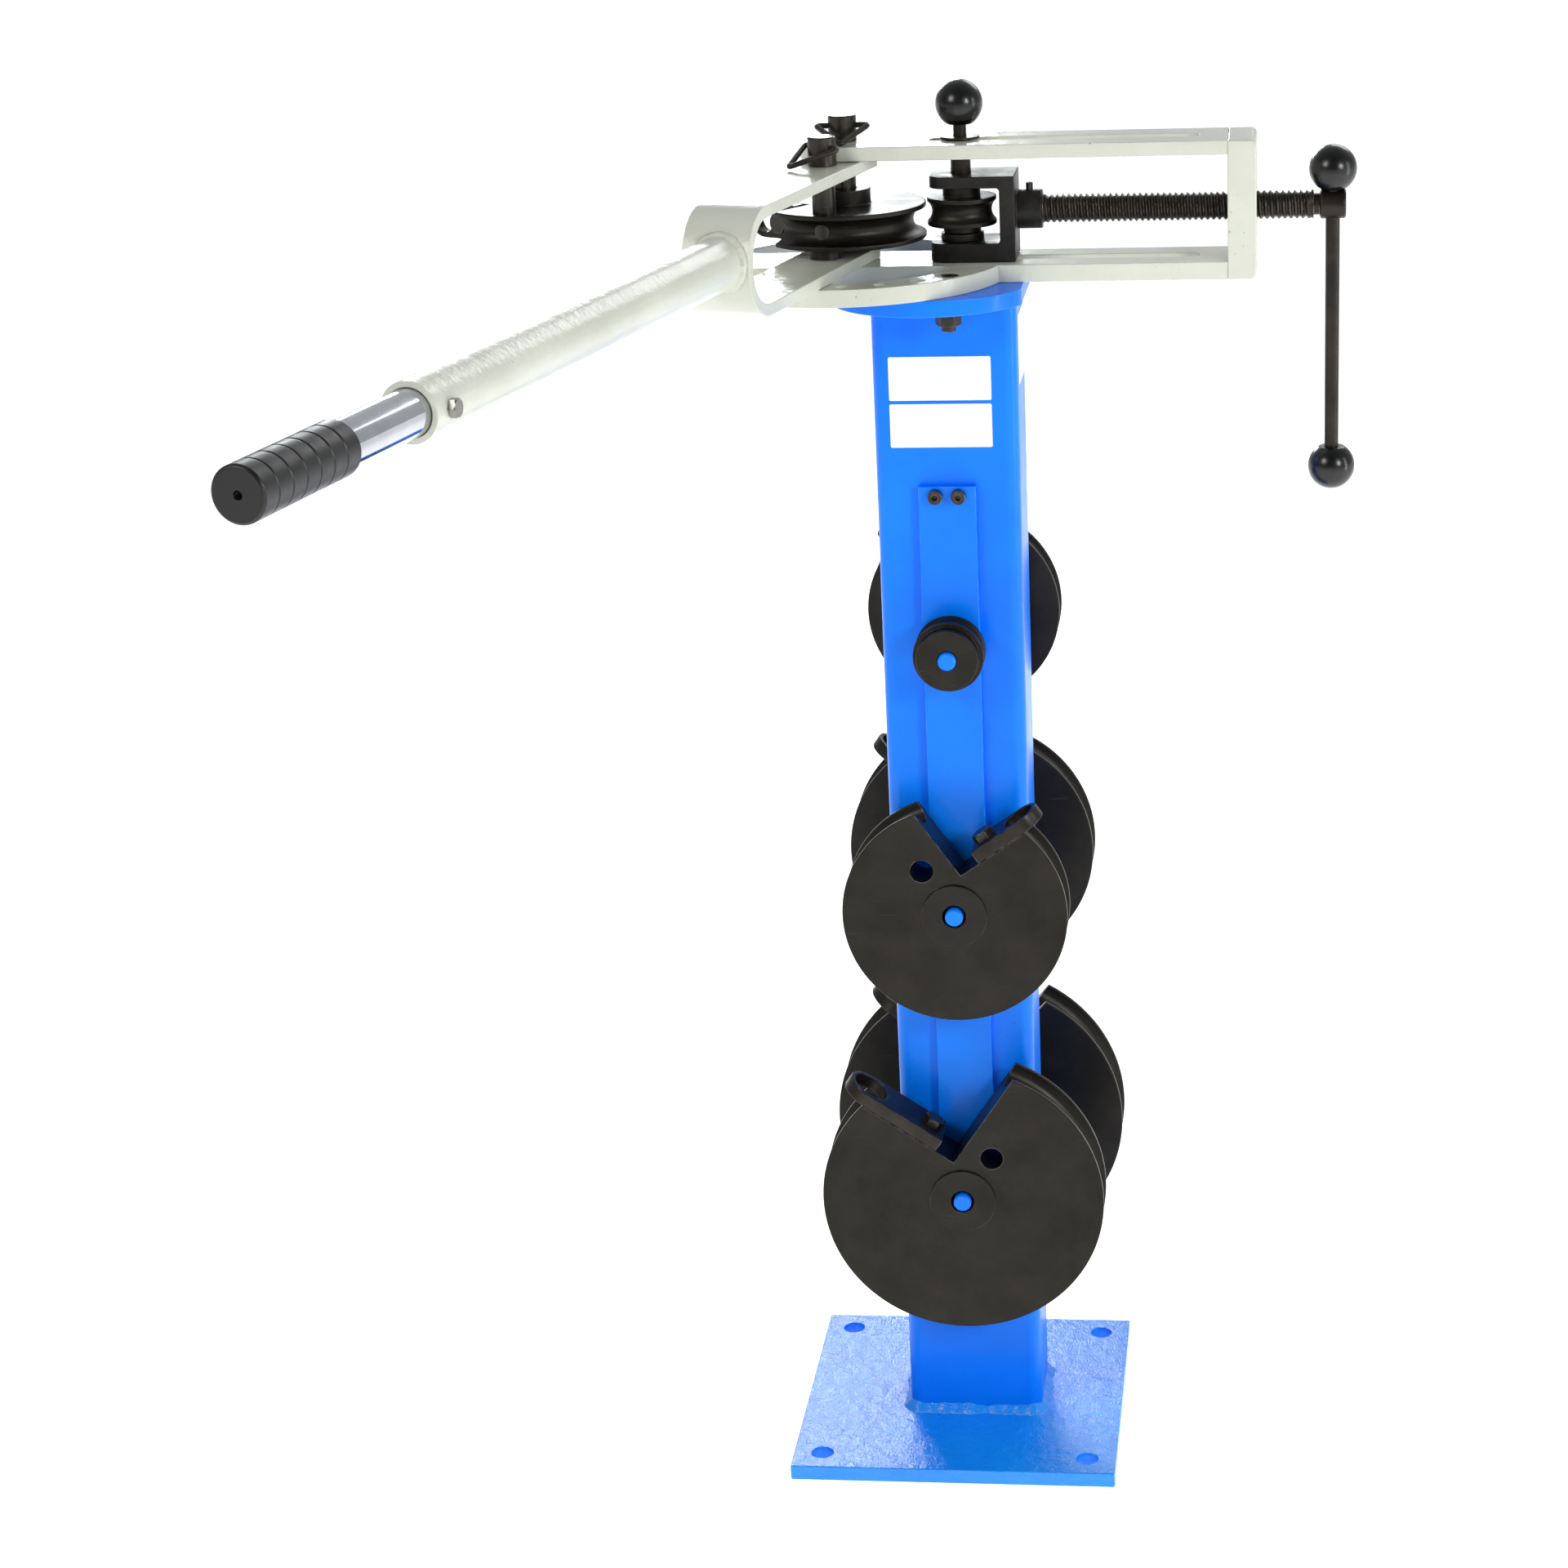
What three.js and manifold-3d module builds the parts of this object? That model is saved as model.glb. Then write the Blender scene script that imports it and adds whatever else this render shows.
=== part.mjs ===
// A pedestal pipe bender: a square column on a base plate carries an open frame with a former,
// a swinging handle and a roller carriage that a screw pushes, and five spare formers hang on the column.
// Millimetres and degrees. +Z is up, +X runs from the pivot to the end post, +Y points away from the handle.
// The origin is the middle of the base plate's underside.
import * as THREE from "three";
import { mergeVertices } from "three/addons/utils/BufferGeometryUtils.js";
import Module from "manifold-3d";

const wasm = await Module();
wasm.setup();

// Shared clearances and counts
const fitGap = 0.3; // air between neighbouring pieces
const runGap = 0.7; // air between the handle's yoke and the upper bar
const overrun = 3; // how far a cutting tool reaches past the faces that it cuts
const weldReach = 0.5; // how far one welded solid is let into the other before they are joined
const vertexGap = 0.0001; // vertices nearer than this are one
const shortEdge = 0.01; // edges shorter than this are taken out
const formerSides = 32;
const rollerSides = 24;
const rodSides = 24;
const holeSides = 12;
const wireSides = 8;
const filletSteps = 4;
const quarterTurn = Math.PI / 2;

// Base plate and column
const basePlateSize = 300;
const basePlateThickness = 14;
const baseHoleRadius = 10;
const baseHoleInset = 27;
const columnWidth = 125;
const columnDepth = 90;
const columnWall = 5;
const columnCornerRadius = 12;
const columnHeight = 1060;
const columnOffsetX = 13;
const columnOffsetY = 7;

// Oblong cap plate on the column, cut flat on the side of the end post
const capEndRadius = 87.5;
const capEndApart = 27; // from the plate's middle line to the centre of each round end
const capEndBack = 10; // from the column's middle towards the pivot
const capThickness = 14;
const capFlatDistance = 69;

// Two countersunk bolts that hold the frame's ring on the cap plate
const frameBoltAngles = [-40.4, 40.4];
const frameBoltRadius = 6;
const frameBoltHeadRadius = 9.5;
const frameBoltSink = 4;
const frameSocketCorner = 5;
const frameBoltTail = 5;
const frameNutHeight = 13;
const frameNutCorner = 11;

// Frame: a lower plate with an index ring, an upper bar and an end post
const pivotDistance = 85; // from the column's centre to the pivot
const barWidth = 74;
const lowerPlateThickness = 15;
const upperBarThickness = 12;
const frameGap = 89; // between the lower plate and the upper bar
const postThickness = 24;
const postDistance = 326; // from the pivot to the post's inner face
const postCornerRadius = 5;
const ringOuterRadius = 138;
const ringWidth = 30;
const windowTipRadius = 14;
const indexHoleRadius = 6;
const indexHoleCount = 6;
const indexFirstAngle = -55;
const indexStepAngle = -15;
const slotStart = 74;
const slotEnd = 302;

// Main pin, drive pin and their wire bails
const pinRadius = 10;
const pinHeadRadius = 12;
const mainHeadHeight = 22;
const driveHeadHeight = 24;
const pinChamfer = 1;
const bailWireRadius = 2.4;
const bailHalfWidth = 22.5;
const bailLength = 38;
const bailCornerRadius = 4;
const bailTuck = 8; // how far a wire end reaches into the pin
const bailDrop = 9; // from the pin's top to the wire's hole
const mainBailAngle = 4;
const driveBailAngle = 58.4;

// Handle: a bent strap yoke, a tube and a chromed extension with a rubber grip
const handleAngle = 256.6;
const yokeWidth = 57;
const yokeShift = -2.5; // the strap sits this far off the middle of the tube
const yokeThickness = 10;
const yokeBendRadius = 43;
const yokeReach = 285;
const yokeTail = 20;
const yokeTailCorner = 10;
const handleTubeRadius = 21.2;
const handleTubeWall = 4.4;
const handleLift = 4; // the tube is welded on a little above the middle of the yoke
const handleTubeEnd = 810;
const extensionWall = 2.5;
const extensionInside = 250; // length of the extension inside the handle tube
const gripStart = 910;
const gripLength = 120;
const gripRadius = 18.9;
const gripEndWall = 6;
const gripHoleRadius = 3;
const gripGrooves = 6;
const gripGrooveDepth = 0.8;
const gripGrooveWidth = 2;
const clampBoltInset = 20;
const clampBoltRadius = 4;
const clampHeadCorner = 7;
const clampHeadHeight = 5;

// Formers: grooved discs with a square notch, a drive hole and a pipe hook
const formerBoreRadius = pinRadius + fitGap;
const driveDistance = 50;
const notchHalfAngle = 45;
const hookThickness = 12;
const hookBoltRadius = 5;
const hookBoltPlay = 0.6; // air round the bolt that holds a hook
const hookBoltCorner = 10;
const hookBoltHead = 7;
const hookBoltDepth = 14;
const hookBoltInset = 14;
const hookEdgeRadius = 3;
const machineFormer = {
  radius: 69,
  width: 30,
  pipe: 11,
  hub: 22,
  hubLow: 8,
  hubHigh: 13,
  notch: 31,
  hookStart: 6,
};
const spareHub = { hubHigh: 3, hookStart: 20 };
const formerA = { radius: 87, width: 34, pipe: 13, hub: 26, hubLow: 6, notch: 35, ...spareHub };
const formerB = { radius: 100, width: 38, pipe: 15, hub: 29, hubLow: 10, notch: 38, ...spareHub };
const formerC = { radius: 113, width: 40, pipe: 16, hub: 29, hubLow: 14, notch: 38, ...spareHub };
const formerD = { radius: 128, width: 43, pipe: 17, hub: 30, hubLow: 10, notch: 38, ...spareHub };
const formerE = { radius: 136, width: 46, pipe: 19, hub: 30, hubLow: 22, notch: 38, ...spareHub };
const grooveSteps = 3;

// How each former is set: turn is the direction of its notch, hookSide is 1 where the hook lies
// counterclockwise of the notch and -1 where it lies clockwise, drive is from the notch to the drive hole.
const machineSetting = { turn: -67, hookSide: -1, drive: 67 };
const frontUpperSetting = { turn: 80, hookSide: -1, drive: 44 };
const frontLowerSetting = { turn: 101, hookSide: 1, drive: -44 };
const backUpperSetting = { turn: 72, hookSide: -1, drive: 44 };
const backMiddleSetting = { turn: 80, hookSide: -1, drive: 44 };
const backLowerSetting = { turn: 85, hookSide: -1, drive: 44 };

// Roller carriage
const rollerDistance = 100; // from the pivot to the roller's axis
const rollerRadius = 29.5;
const rollerWidth = 24;
const rollerPipe = 11;
const rollerGrooveDepth = 4;
const rollerHubRadius = 16;
const rollerHubHigh = 9;
const rollerHubLow = 6.5;
const spacerRadius = 18.3;
const spacerHeight = 6;
const jawLength = 73;
const jawFront = 26; // from the roller's axis to the jaws' free end
const jawWidth = 52;
const jawCornerRadius = 14;
const lowerJawThickness = 16;
const upperJawThickness = 10;
const webThickness = 13;
const collarRadius = 16.5;
const collarLength = 22;
const setScrewRadius = 3;
const setScrewHeight = 6;

// Knob pin through the carriage and both slots
const knobPinRadius = 8.5;
const knobNeckRadius = 5.5;
const knobBallHeight = 30; // from the upper bar's top to the ball's centre
const knobPinEntry = 8; // how far the pin reaches into the lower slot
const knobWasherRadius = 16.5;
const knobWasherHeight = 2.5;
const ballRadius = 20;
const ballSeat = 17; // from the ball's centre to the flat round its socket
const ballSocketDepth = 12;
const ballSides = 16;
const ballRings = 10;

// Lead screw and sliding tee bar
const screwHeight = 41; // from the lower plate's top to the screw's axis
const screwRadius = 12;
const screwJournalRadius = 9;
const screwGrooveRadius = 7;
const screwNeckLength = 5;
const screwHeadRadius = 12.3;
const screwHeadLength = 22;
const screwReach = 47.5; // from the post's outer face to the end of the thread
const teeBarRadius = 6;
const teeBallSpan = 255;

// Hanger strips with welded pegs, two cap screws each
const stripWidth = 50;
const stripThickness = 8;
const stripTop = 915;
const stripLength = 715;
const pegRadius = 8;
const pegDropShares = [0.2, 0.5266, 0.9112]; // from the strip's top, as shares of its length
const pegChamfer = 1.5;
const pegShow = 4; // how far a peg stands out of what hangs on it
const capScrewRadius = 4;
const capScrewHeadRadius = 6.3;
const capScrewHeadHeight = 7;
const capScrewSocketRadius = 3.2;
const capScrewSocketDepth = 4;
const capScrewSpacing = 20;
const capScrewDrop = 8;
const spareRollerRadius = 31;
const spareRollerHubRadius = 27;
const spareRollerHubHigh = 11;

// Heights worked out from the sizes above
const columnTop = basePlateThickness + columnHeight;
const headLevel = columnTop + capThickness; // the lower plate's underside
const plateTop = lowerPlateThickness; // from here on heights are above headLevel
const barBottom = plateTop + frameGap;
const barTop = barBottom + upperBarThickness;
const yokeBottom = plateTop + fitGap;
const yokeTop = barBottom - runGap;
const screwLevel = plateTop + screwHeight;
const slotWidth = 2 * (knobPinRadius + fitGap) + fitGap;
const driveHoleRadius = pinRadius + fitGap;
const handleBore = handleTubeRadius - handleTubeWall;
const extensionRadius = handleBore - fitGap;
const postOuter = postDistance + postThickness;
const ringInnerRadius = ringOuterRadius - ringWidth;
const ringMiddleRadius = ringOuterRadius - ringWidth / 2;
const pegHeights = pegDropShares.map((share) => stripTop - share * stripLength);

// Materials
const paint = (color, roughness, metalness) =>
  new THREE.MeshStandardMaterial({ color, roughness, metalness });
const bluePaint = paint(0x1a80ff, 0.35, 0.1);
const creamPaint = paint(0xe6e8d8, 0.4, 0.05);
const blackOxide = paint(0x2d2a26, 0.42, 0.6);
const glossBlack = paint(0x0c0c0d, 0.12, 0.1);
const darkSteel = paint(0x34312e, 0.35, 0.8);
const chrome = paint(0xd8dade, 0.08, 1);
const rubber = paint(0x1c1b1b, 0.7, 0);
const zinc = paint(0xb9bab8, 0.3, 0.9);

// Turns a closed geometry into a solid that can be joined and cut.
function solid(shape) {
  if (shape instanceof wasm.Manifold) return shape;
  const bare = shape.index ? shape.toNonIndexed() : shape.clone();
  bare.deleteAttribute("normal");
  bare.deleteAttribute("uv");
  const merged = mergeVertices(bare, vertexGap);
  const corners = merged.index.array;
  const triVerts = [];
  for (let i = 0; i < corners.length; i += 3) {
    const [a, b, c] = corners.slice(i, i + 3);
    if (a !== b && b !== c && c !== a) triVerts.push(a, b, c);
  }
  return new wasm.Manifold(
    new wasm.Mesh({
      numProp: 3,
      vertProperties: merged.getAttribute("position").array,
      triVerts: new Uint32Array(triVerts),
    }),
  );
}

function cut(body, ...tools) {
  return tools.reduce((rest, tool) => rest.subtract(solid(tool)), solid(body));
}

function join(body, ...others) {
  return others.reduce((whole, other) => whole.add(solid(other)), solid(body));
}

function piece(name, shape, material, parent) {
  const mesh = solid(shape).simplify(shortEdge).getMesh();
  const geometry = new THREE.BufferGeometry();
  geometry.setAttribute("position", new THREE.BufferAttribute(mesh.vertProperties, 3));
  geometry.setIndex(new THREE.BufferAttribute(mesh.triVerts, 1));
  geometry.computeVertexNormals();
  const part = new THREE.Mesh(geometry, material);
  part.name = name;
  parent.add(part);
  return part;
}

function group(parent, x, y, z, turn = 0) {
  const made = new THREE.Group();
  made.position.set(x, y, z);
  made.rotation.z = turn;
  parent.add(made);
  return made;
}

const radians = THREE.MathUtils.degToRad;
const onCircle = (radius, angle) =>
  new THREE.Vector2(radius * Math.cos(radians(angle)), radius * Math.sin(radians(angle)));

// An upright rod from z = low to z = high.
function rod(radius, low, high, sides = rodSides) {
  const shape = new THREE.CylinderGeometry(radius, radius, high - low, sides);
  return shape.rotateX(quarterTurn).translate(0, 0, (low + high) / 2);
}

// A rod along +X from x = low to x = high.
function levelRod(radius, low, high, sides = rodSides) {
  const shape = new THREE.CylinderGeometry(radius, radius, high - low, sides);
  return shape.rotateZ(-quarterTurn).translate((low + high) / 2, 0, 0);
}

// A flat outline raised from z = low to z = high.
function raised(outline, low, high) {
  const options = { depth: high - low, bevelEnabled: false, curveSegments: filletSteps };
  return new THREE.ExtrudeGeometry(outline, options).translate(0, 0, low);
}

// A profile of [radius, height] pairs turned about the Z axis; it closes on itself or on the axis.
function turned(profile, sides) {
  const points = profile.map(([radius, height]) => new THREE.Vector2(radius, height));
  return new THREE.LatheGeometry(points, sides).rotateX(quarterTurn);
}

function hexagon(corner) {
  return new THREE.Shape([0, 60, 120, 180, 240, 300].map((angle) => onCircle(corner, angle)));
}

// A rectangle between two corners with its corners rounded.
function roundedRectangle(left, bottom, right, top, radius) {
  const outline = new THREE.Shape();
  outline.absarc(right - radius, bottom + radius, radius, -quarterTurn, 0);
  outline.absarc(right - radius, top - radius, radius, 0, quarterTurn);
  outline.absarc(left + radius, top - radius, radius, quarterTurn, Math.PI);
  outline.absarc(left + radius, bottom + radius, radius, Math.PI, Math.PI + quarterTurn);
  return outline;
}

// A slot with round ends along X.
function slot(start, end, width) {
  const outline = new THREE.Shape();
  outline.absarc(end - width / 2, 0, width / 2, -quarterTurn, quarterTurn);
  outline.absarc(start + width / 2, 0, width / 2, quarterTurn, Math.PI + quarterTurn);
  return outline;
}

// A square plate with an anchor hole near each corner.
function addBasePlate(parent) {
  const half = basePlateSize / 2;
  const reach = half - baseHoleInset;
  const outline = new THREE.Shape();
  outline.moveTo(-half, -half).lineTo(half, -half).lineTo(half, half).lineTo(-half, half);
  const holes = [-reach, reach].flatMap((x) =>
    [-reach, reach].map((y) =>
      rod(baseHoleRadius, -overrun, basePlateThickness + overrun).translate(x, y, 0),
    ),
  );
  piece("base_plate", cut(raised(outline, 0, basePlateThickness), ...holes), bluePaint, parent);
}

// A rectangular tube with screw holes for the two hanger strips.
function addColumn(parent) {
  const x = columnWidth / 2;
  const y = columnDepth / 2;
  const wall = columnWall;
  const outside = roundedRectangle(-x, -y, x, y, columnCornerRadius);
  const insideRadius = columnCornerRadius - wall;
  const inside = roundedRectangle(wall - x, wall - y, x - wall, y - wall, insideRadius);
  const holes = [-1, 1].map((side) =>
    rod(capScrewRadius + fitGap, -y - overrun, y + overrun, holeSides)
      .rotateX(quarterTurn)
      .translate((side * capScrewSpacing) / 2, 0, stripTop - capScrewDrop),
  );
  const tube = cut(
    raised(outside, basePlateThickness, columnTop),
    raised(inside, basePlateThickness - overrun, columnTop + overrun),
    ...holes,
  );
  piece("column", tube, bluePaint, parent);
}

// A plate with two round ends on the column, flat on the side of the end post.
function addCapPlate(parent) {
  const outline = new THREE.Shape();
  outline.absarc(-capEndBack, capEndApart, capEndRadius, 0, Math.PI);
  outline.absarc(-capEndBack, -capEndApart, capEndRadius, Math.PI, 2 * Math.PI);
  const options = { depth: capThickness, bevelEnabled: false, curveSegments: holeSides };
  const oblong = new THREE.ExtrudeGeometry(outline, options).translate(0, 0, columnTop);
  const wide = capEndRadius + capEndApart;
  const beyond = new THREE.BoxGeometry(wide, 2 * wide + overrun, 2 * headLevel + overrun);
  beyond.translate(capFlatDistance + wide / 2, 0, 0);
  const holes = frameBoltAngles.map((angle) => {
    const spot = onCircle(ringMiddleRadius, angle);
    const hole = rod(frameBoltRadius + fitGap, columnTop - overrun, headLevel + overrun, holeSides);
    return hole.translate(spot.x - pivotDistance, spot.y, 0);
  });
  piece("cap_plate", cut(oblong, beyond, ...holes), bluePaint, parent);
}

// A countersunk bolt from the top of the lower plate, and its nut under the cap plate.
function addFrameBolts(parent) {
  const top = headLevel + plateTop - fitGap;
  const bottom = columnTop - frameNutHeight - frameBoltTail;
  frameBoltAngles.forEach((angle, index) => {
    const spot = onCircle(ringMiddleRadius, angle);
    const place = group(parent, spot.x - pivotDistance, spot.y, 0);
    const shank = turned(
      [
        [0, bottom],
        [frameBoltRadius, bottom],
        [frameBoltRadius, top - frameBoltSink],
        [frameBoltHeadRadius, top],
        [0, top],
      ],
      holeSides,
    );
    const socket = raised(hexagon(frameSocketCorner), top - frameBoltSink, top + overrun);
    piece(`frame_bolt_${index + 1}`, cut(shank, socket), darkSteel, place);
    const nut = cut(
      raised(hexagon(frameNutCorner), columnTop - frameNutHeight, columnTop),
      rod(frameBoltRadius + fitGap, bottom, columnTop + overrun, holeSides),
    );
    piece(`frame_nut_${index + 1}`, nut, darkSteel, place);
  });
}

// The outline of one D-shaped window in the lower plate, on the side of the given sign.
function windowOutline(side) {
  const tip = windowTipRadius;
  const straight = barWidth / 2;
  const tipY = straight + tip;
  const tipX = Math.sqrt((ringInnerRadius - tip) ** 2 - tipY ** 2);
  const slope = Math.atan2(tipY, tipX);
  const outline = new THREE.Shape();
  outline.absarc(tipX, tipY, tip, -quarterTurn, slope);
  outline.absarc(0, 0, ringInnerRadius, slope, Math.PI - slope);
  outline.absarc(-tipX, tipY, tip, Math.PI - slope, Math.PI + quarterTurn);
  const points = outline.getPoints(rodSides / 2);
  return new THREE.Shape(points.map((point) => new THREE.Vector2(point.x, side * point.y)));
}

// The lower plate: a bar and an index ring in one, with two windows, index holes and a slot.
function addLowerPlate(parent) {
  const half = barWidth / 2;
  const meet = Math.asin(half / ringOuterRadius);
  const outline = new THREE.Shape();
  outline.moveTo(postDistance, -half).lineTo(postDistance, half);
  outline.absarc(0, 0, ringOuterRadius, meet, 2 * Math.PI - meet);
  const options = { depth: plateTop, bevelEnabled: false, curveSegments: rodSides };
  const plate = new THREE.ExtrudeGeometry(outline, options);
  const low = -overrun;
  const high = plateTop + overrun;
  const windows = [-1, 1].map((side) => raised(windowOutline(side), low, high));
  const indexHoles = Array.from({ length: indexHoleCount }, (_, step) => {
    const spot = onCircle(ringMiddleRadius, indexFirstAngle + step * indexStepAngle);
    return rod(indexHoleRadius, low, high, holeSides).translate(spot.x, spot.y, 0);
  });
  const boltHoles = frameBoltAngles.map((angle) => {
    const spot = onCircle(ringMiddleRadius, angle);
    const shank = frameBoltRadius + fitGap;
    const head = frameBoltHeadRadius + fitGap;
    const profile = [
      [0, low],
      [shank, low],
      [shank, plateTop - frameBoltSink - fitGap],
      [head, plateTop - fitGap],
      [head, high],
      [0, high],
    ];
    return turned(profile, holeSides).translate(spot.x, spot.y, 0);
  });
  const pinHole = rod(pinRadius + fitGap, low, high);
  const guide = raised(slot(slotStart, slotEnd, slotWidth), low, high);
  const tools = [...windows, ...indexHoles, ...boltHoles, pinHole, guide];
  piece("lower_plate", cut(plate, ...tools), creamPaint, parent);
}

// The upper bar with its round end about the pivot, the pin hole and the slot.
function addUpperBar(parent) {
  const half = barWidth / 2;
  const outline = new THREE.Shape();
  outline.moveTo(postDistance, -half).lineTo(postDistance, half);
  outline.absarc(0, 0, half, quarterTurn, Math.PI + quarterTurn);
  const options = { depth: upperBarThickness, bevelEnabled: false, curveSegments: holeSides };
  const bar = new THREE.ExtrudeGeometry(outline, options).translate(0, 0, barBottom);
  const low = barBottom - overrun;
  const high = barTop + overrun;
  const shape = cut(
    bar,
    rod(pinRadius + fitGap, low, high),
    raised(slot(slotStart, slotEnd, slotWidth), low, high),
  );
  piece("upper_bar", shape, creamPaint, parent);
}

// The post that joins the two bars, with the hole that the lead screw turns in.
function addEndPost(parent) {
  const radius = postCornerRadius;
  const outline = new THREE.Shape();
  outline.absarc(postThickness - radius, radius, radius, -quarterTurn, 0);
  outline.absarc(postThickness - radius, barTop - radius, radius, 0, quarterTurn);
  outline.lineTo(0, barTop).lineTo(0, 0);
  const post = raised(outline, -barWidth / 2, barWidth / 2).rotateX(quarterTurn);
  post.translate(postDistance, 0, 0);
  const hole = levelRod(screwRadius + fitGap, postDistance - overrun, postOuter + overrun);
  piece("end_post", cut(post, hole.translate(0, 0, screwLevel)), creamPaint, parent);
}

// A headed pin from z = bottom to its head on z = seat, with a cross hole for its bail.
function headedPin(bottom, seat, headHeight, holeAngle) {
  const top = seat + headHeight;
  const profile = [
    [0, bottom],
    [pinRadius - pinChamfer, bottom],
    [pinRadius, bottom + pinChamfer],
    [pinRadius, seat],
    [pinHeadRadius, seat],
    [pinHeadRadius, top - pinChamfer],
    [pinHeadRadius - pinChamfer, top],
    [0, top],
  ];
  const reach = pinHeadRadius + overrun;
  const hole = levelRod(bailWireRadius + fitGap, -reach, reach, holeSides);
  hole.rotateZ(radians(holeAngle)).translate(0, 0, top - bailDrop);
  return cut(turned(profile, rodSides), hole);
}

// A three-cornered wire bail. Its ends lie in the pin's hole on the X axis, its tip points to -Y.
function bail(dip) {
  const tuck = pinHeadRadius - bailTuck;
  const corners = [
    new THREE.Vector3(-tuck, 0, 0),
    new THREE.Vector3(-bailHalfWidth, 0, 0),
    new THREE.Vector3(0, -bailLength, 0),
    new THREE.Vector3(bailHalfWidth, 0, 0),
    new THREE.Vector3(tuck, 0, 0),
  ];
  const path = new THREE.CurvePath();
  let from = corners[0];
  for (let i = 1; i < corners.length - 1; i += 1) {
    const back = corners[i - 1].clone().sub(corners[i]).setLength(bailCornerRadius);
    const ahead = corners[i + 1].clone().sub(corners[i]).setLength(bailCornerRadius);
    const start = corners[i].clone().add(back);
    const end = corners[i].clone().add(ahead);
    path.add(new THREE.LineCurve3(from, start));
    path.add(new THREE.QuadraticBezierCurve3(start, corners[i].clone(), end));
    from = end;
  }
  path.add(new THREE.LineCurve3(from, corners[corners.length - 1]));
  const spots = path.curves.flatMap((curve, index) => {
    const points = curve.getPoints(curve.isLineCurve3 ? 1 : filletSteps);
    return index ? points.slice(1) : points;
  });
  return sweep(spots, bailWireRadius, wireSides).rotateX(dip);
}

// A round wire through points that lie in the plane z = 0, mitred at each of them.
function sweep(spots, radius, sides) {
  const up = new THREE.Vector3(0, 0, 1);
  const positions = [];
  const triangles = [];
  spots.forEach((spot, index) => {
    const before = spots[Math.max(index - 1, 0)];
    const after = spots[Math.min(index + 1, spots.length - 1)];
    const along = after.clone().sub(before).normalize();
    const across = new THREE.Vector3().crossVectors(along, up);
    for (let side = 0; side < sides; side += 1) {
      const turn = (2 * Math.PI * side) / sides;
      const point = spot.clone();
      point.addScaledVector(across, radius * Math.cos(turn));
      point.addScaledVector(up, radius * Math.sin(turn));
      positions.push(point.x, point.y, point.z);
      const next = (side + 1) % sides;
      const ring = index * sides;
      if (index < spots.length - 1) {
        triangles.push(ring + side, ring + sides + next, ring + next);
        triangles.push(ring + side, ring + sides + side, ring + sides + next);
      }
    }
  });
  const last = (spots.length - 1) * sides;
  for (let side = 1; side < sides - 1; side += 1) {
    triangles.push(0, side, side + 1);
    triangles.push(last, last + side + 1, last + side);
  }
  const geometry = new THREE.BufferGeometry();
  geometry.setAttribute("position", new THREE.Float32BufferAttribute(positions, 3));
  geometry.setIndex(triangles);
  return geometry;
}

function addPins(parent, handle) {
  const seat = barTop + fitGap;
  const dip = Math.asin((mainHeadHeight - bailDrop - bailWireRadius) / bailLength);
  const mainPin = headedPin(fitGap, seat, mainHeadHeight, mainBailAngle);
  piece("main_pin", mainPin, darkSteel, parent);
  const mainBail = bail(dip).rotateZ(radians(mainBailAngle));
  mainBail.translate(0, 0, seat + mainHeadHeight - bailDrop);
  piece("main_bail", mainBail, darkSteel, parent);

  const driveSeat = yokeTop + fitGap;
  const driveDip = Math.asin((driveHeadHeight - bailDrop - bailWireRadius) / bailLength);
  const drivePlace = group(handle, driveDistance, 0, 0);
  const drivePin = headedPin(yokeBottom, driveSeat, driveHeadHeight, driveBailAngle);
  piece("drive_pin", drivePin, darkSteel, drivePlace);
  const driveBail = bail(driveDip).rotateZ(radians(driveBailAngle));
  driveBail.translate(0, 0, driveSeat + driveHeadHeight - bailDrop);
  piece("drive_bail", driveBail, darkSteel, drivePlace);
}

// The strap bent round the former; its outside is also the tool that the handle tube is coped with.
function yokeOutside(grow) {
  const bend = yokeBendRadius + grow;
  const low = yokeBottom - grow;
  const high = yokeTop + grow;
  const outline = new THREE.Shape();
  outline.absarc(yokeReach + grow - bend, low + bend, bend, -quarterTurn, 0);
  outline.absarc(yokeReach + grow - bend, high - bend, bend, 0, quarterTurn);
  outline.lineTo(-yokeTail, high).lineTo(-yokeTail, low);
  const half = yokeWidth / 2 + grow;
  const options = { depth: 2 * half, bevelEnabled: false, curveSegments: holeSides / 2 };
  return new THREE.ExtrudeGeometry(outline, options).rotateX(quarterTurn).translate(0, half + yokeShift, 0);
}

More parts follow.
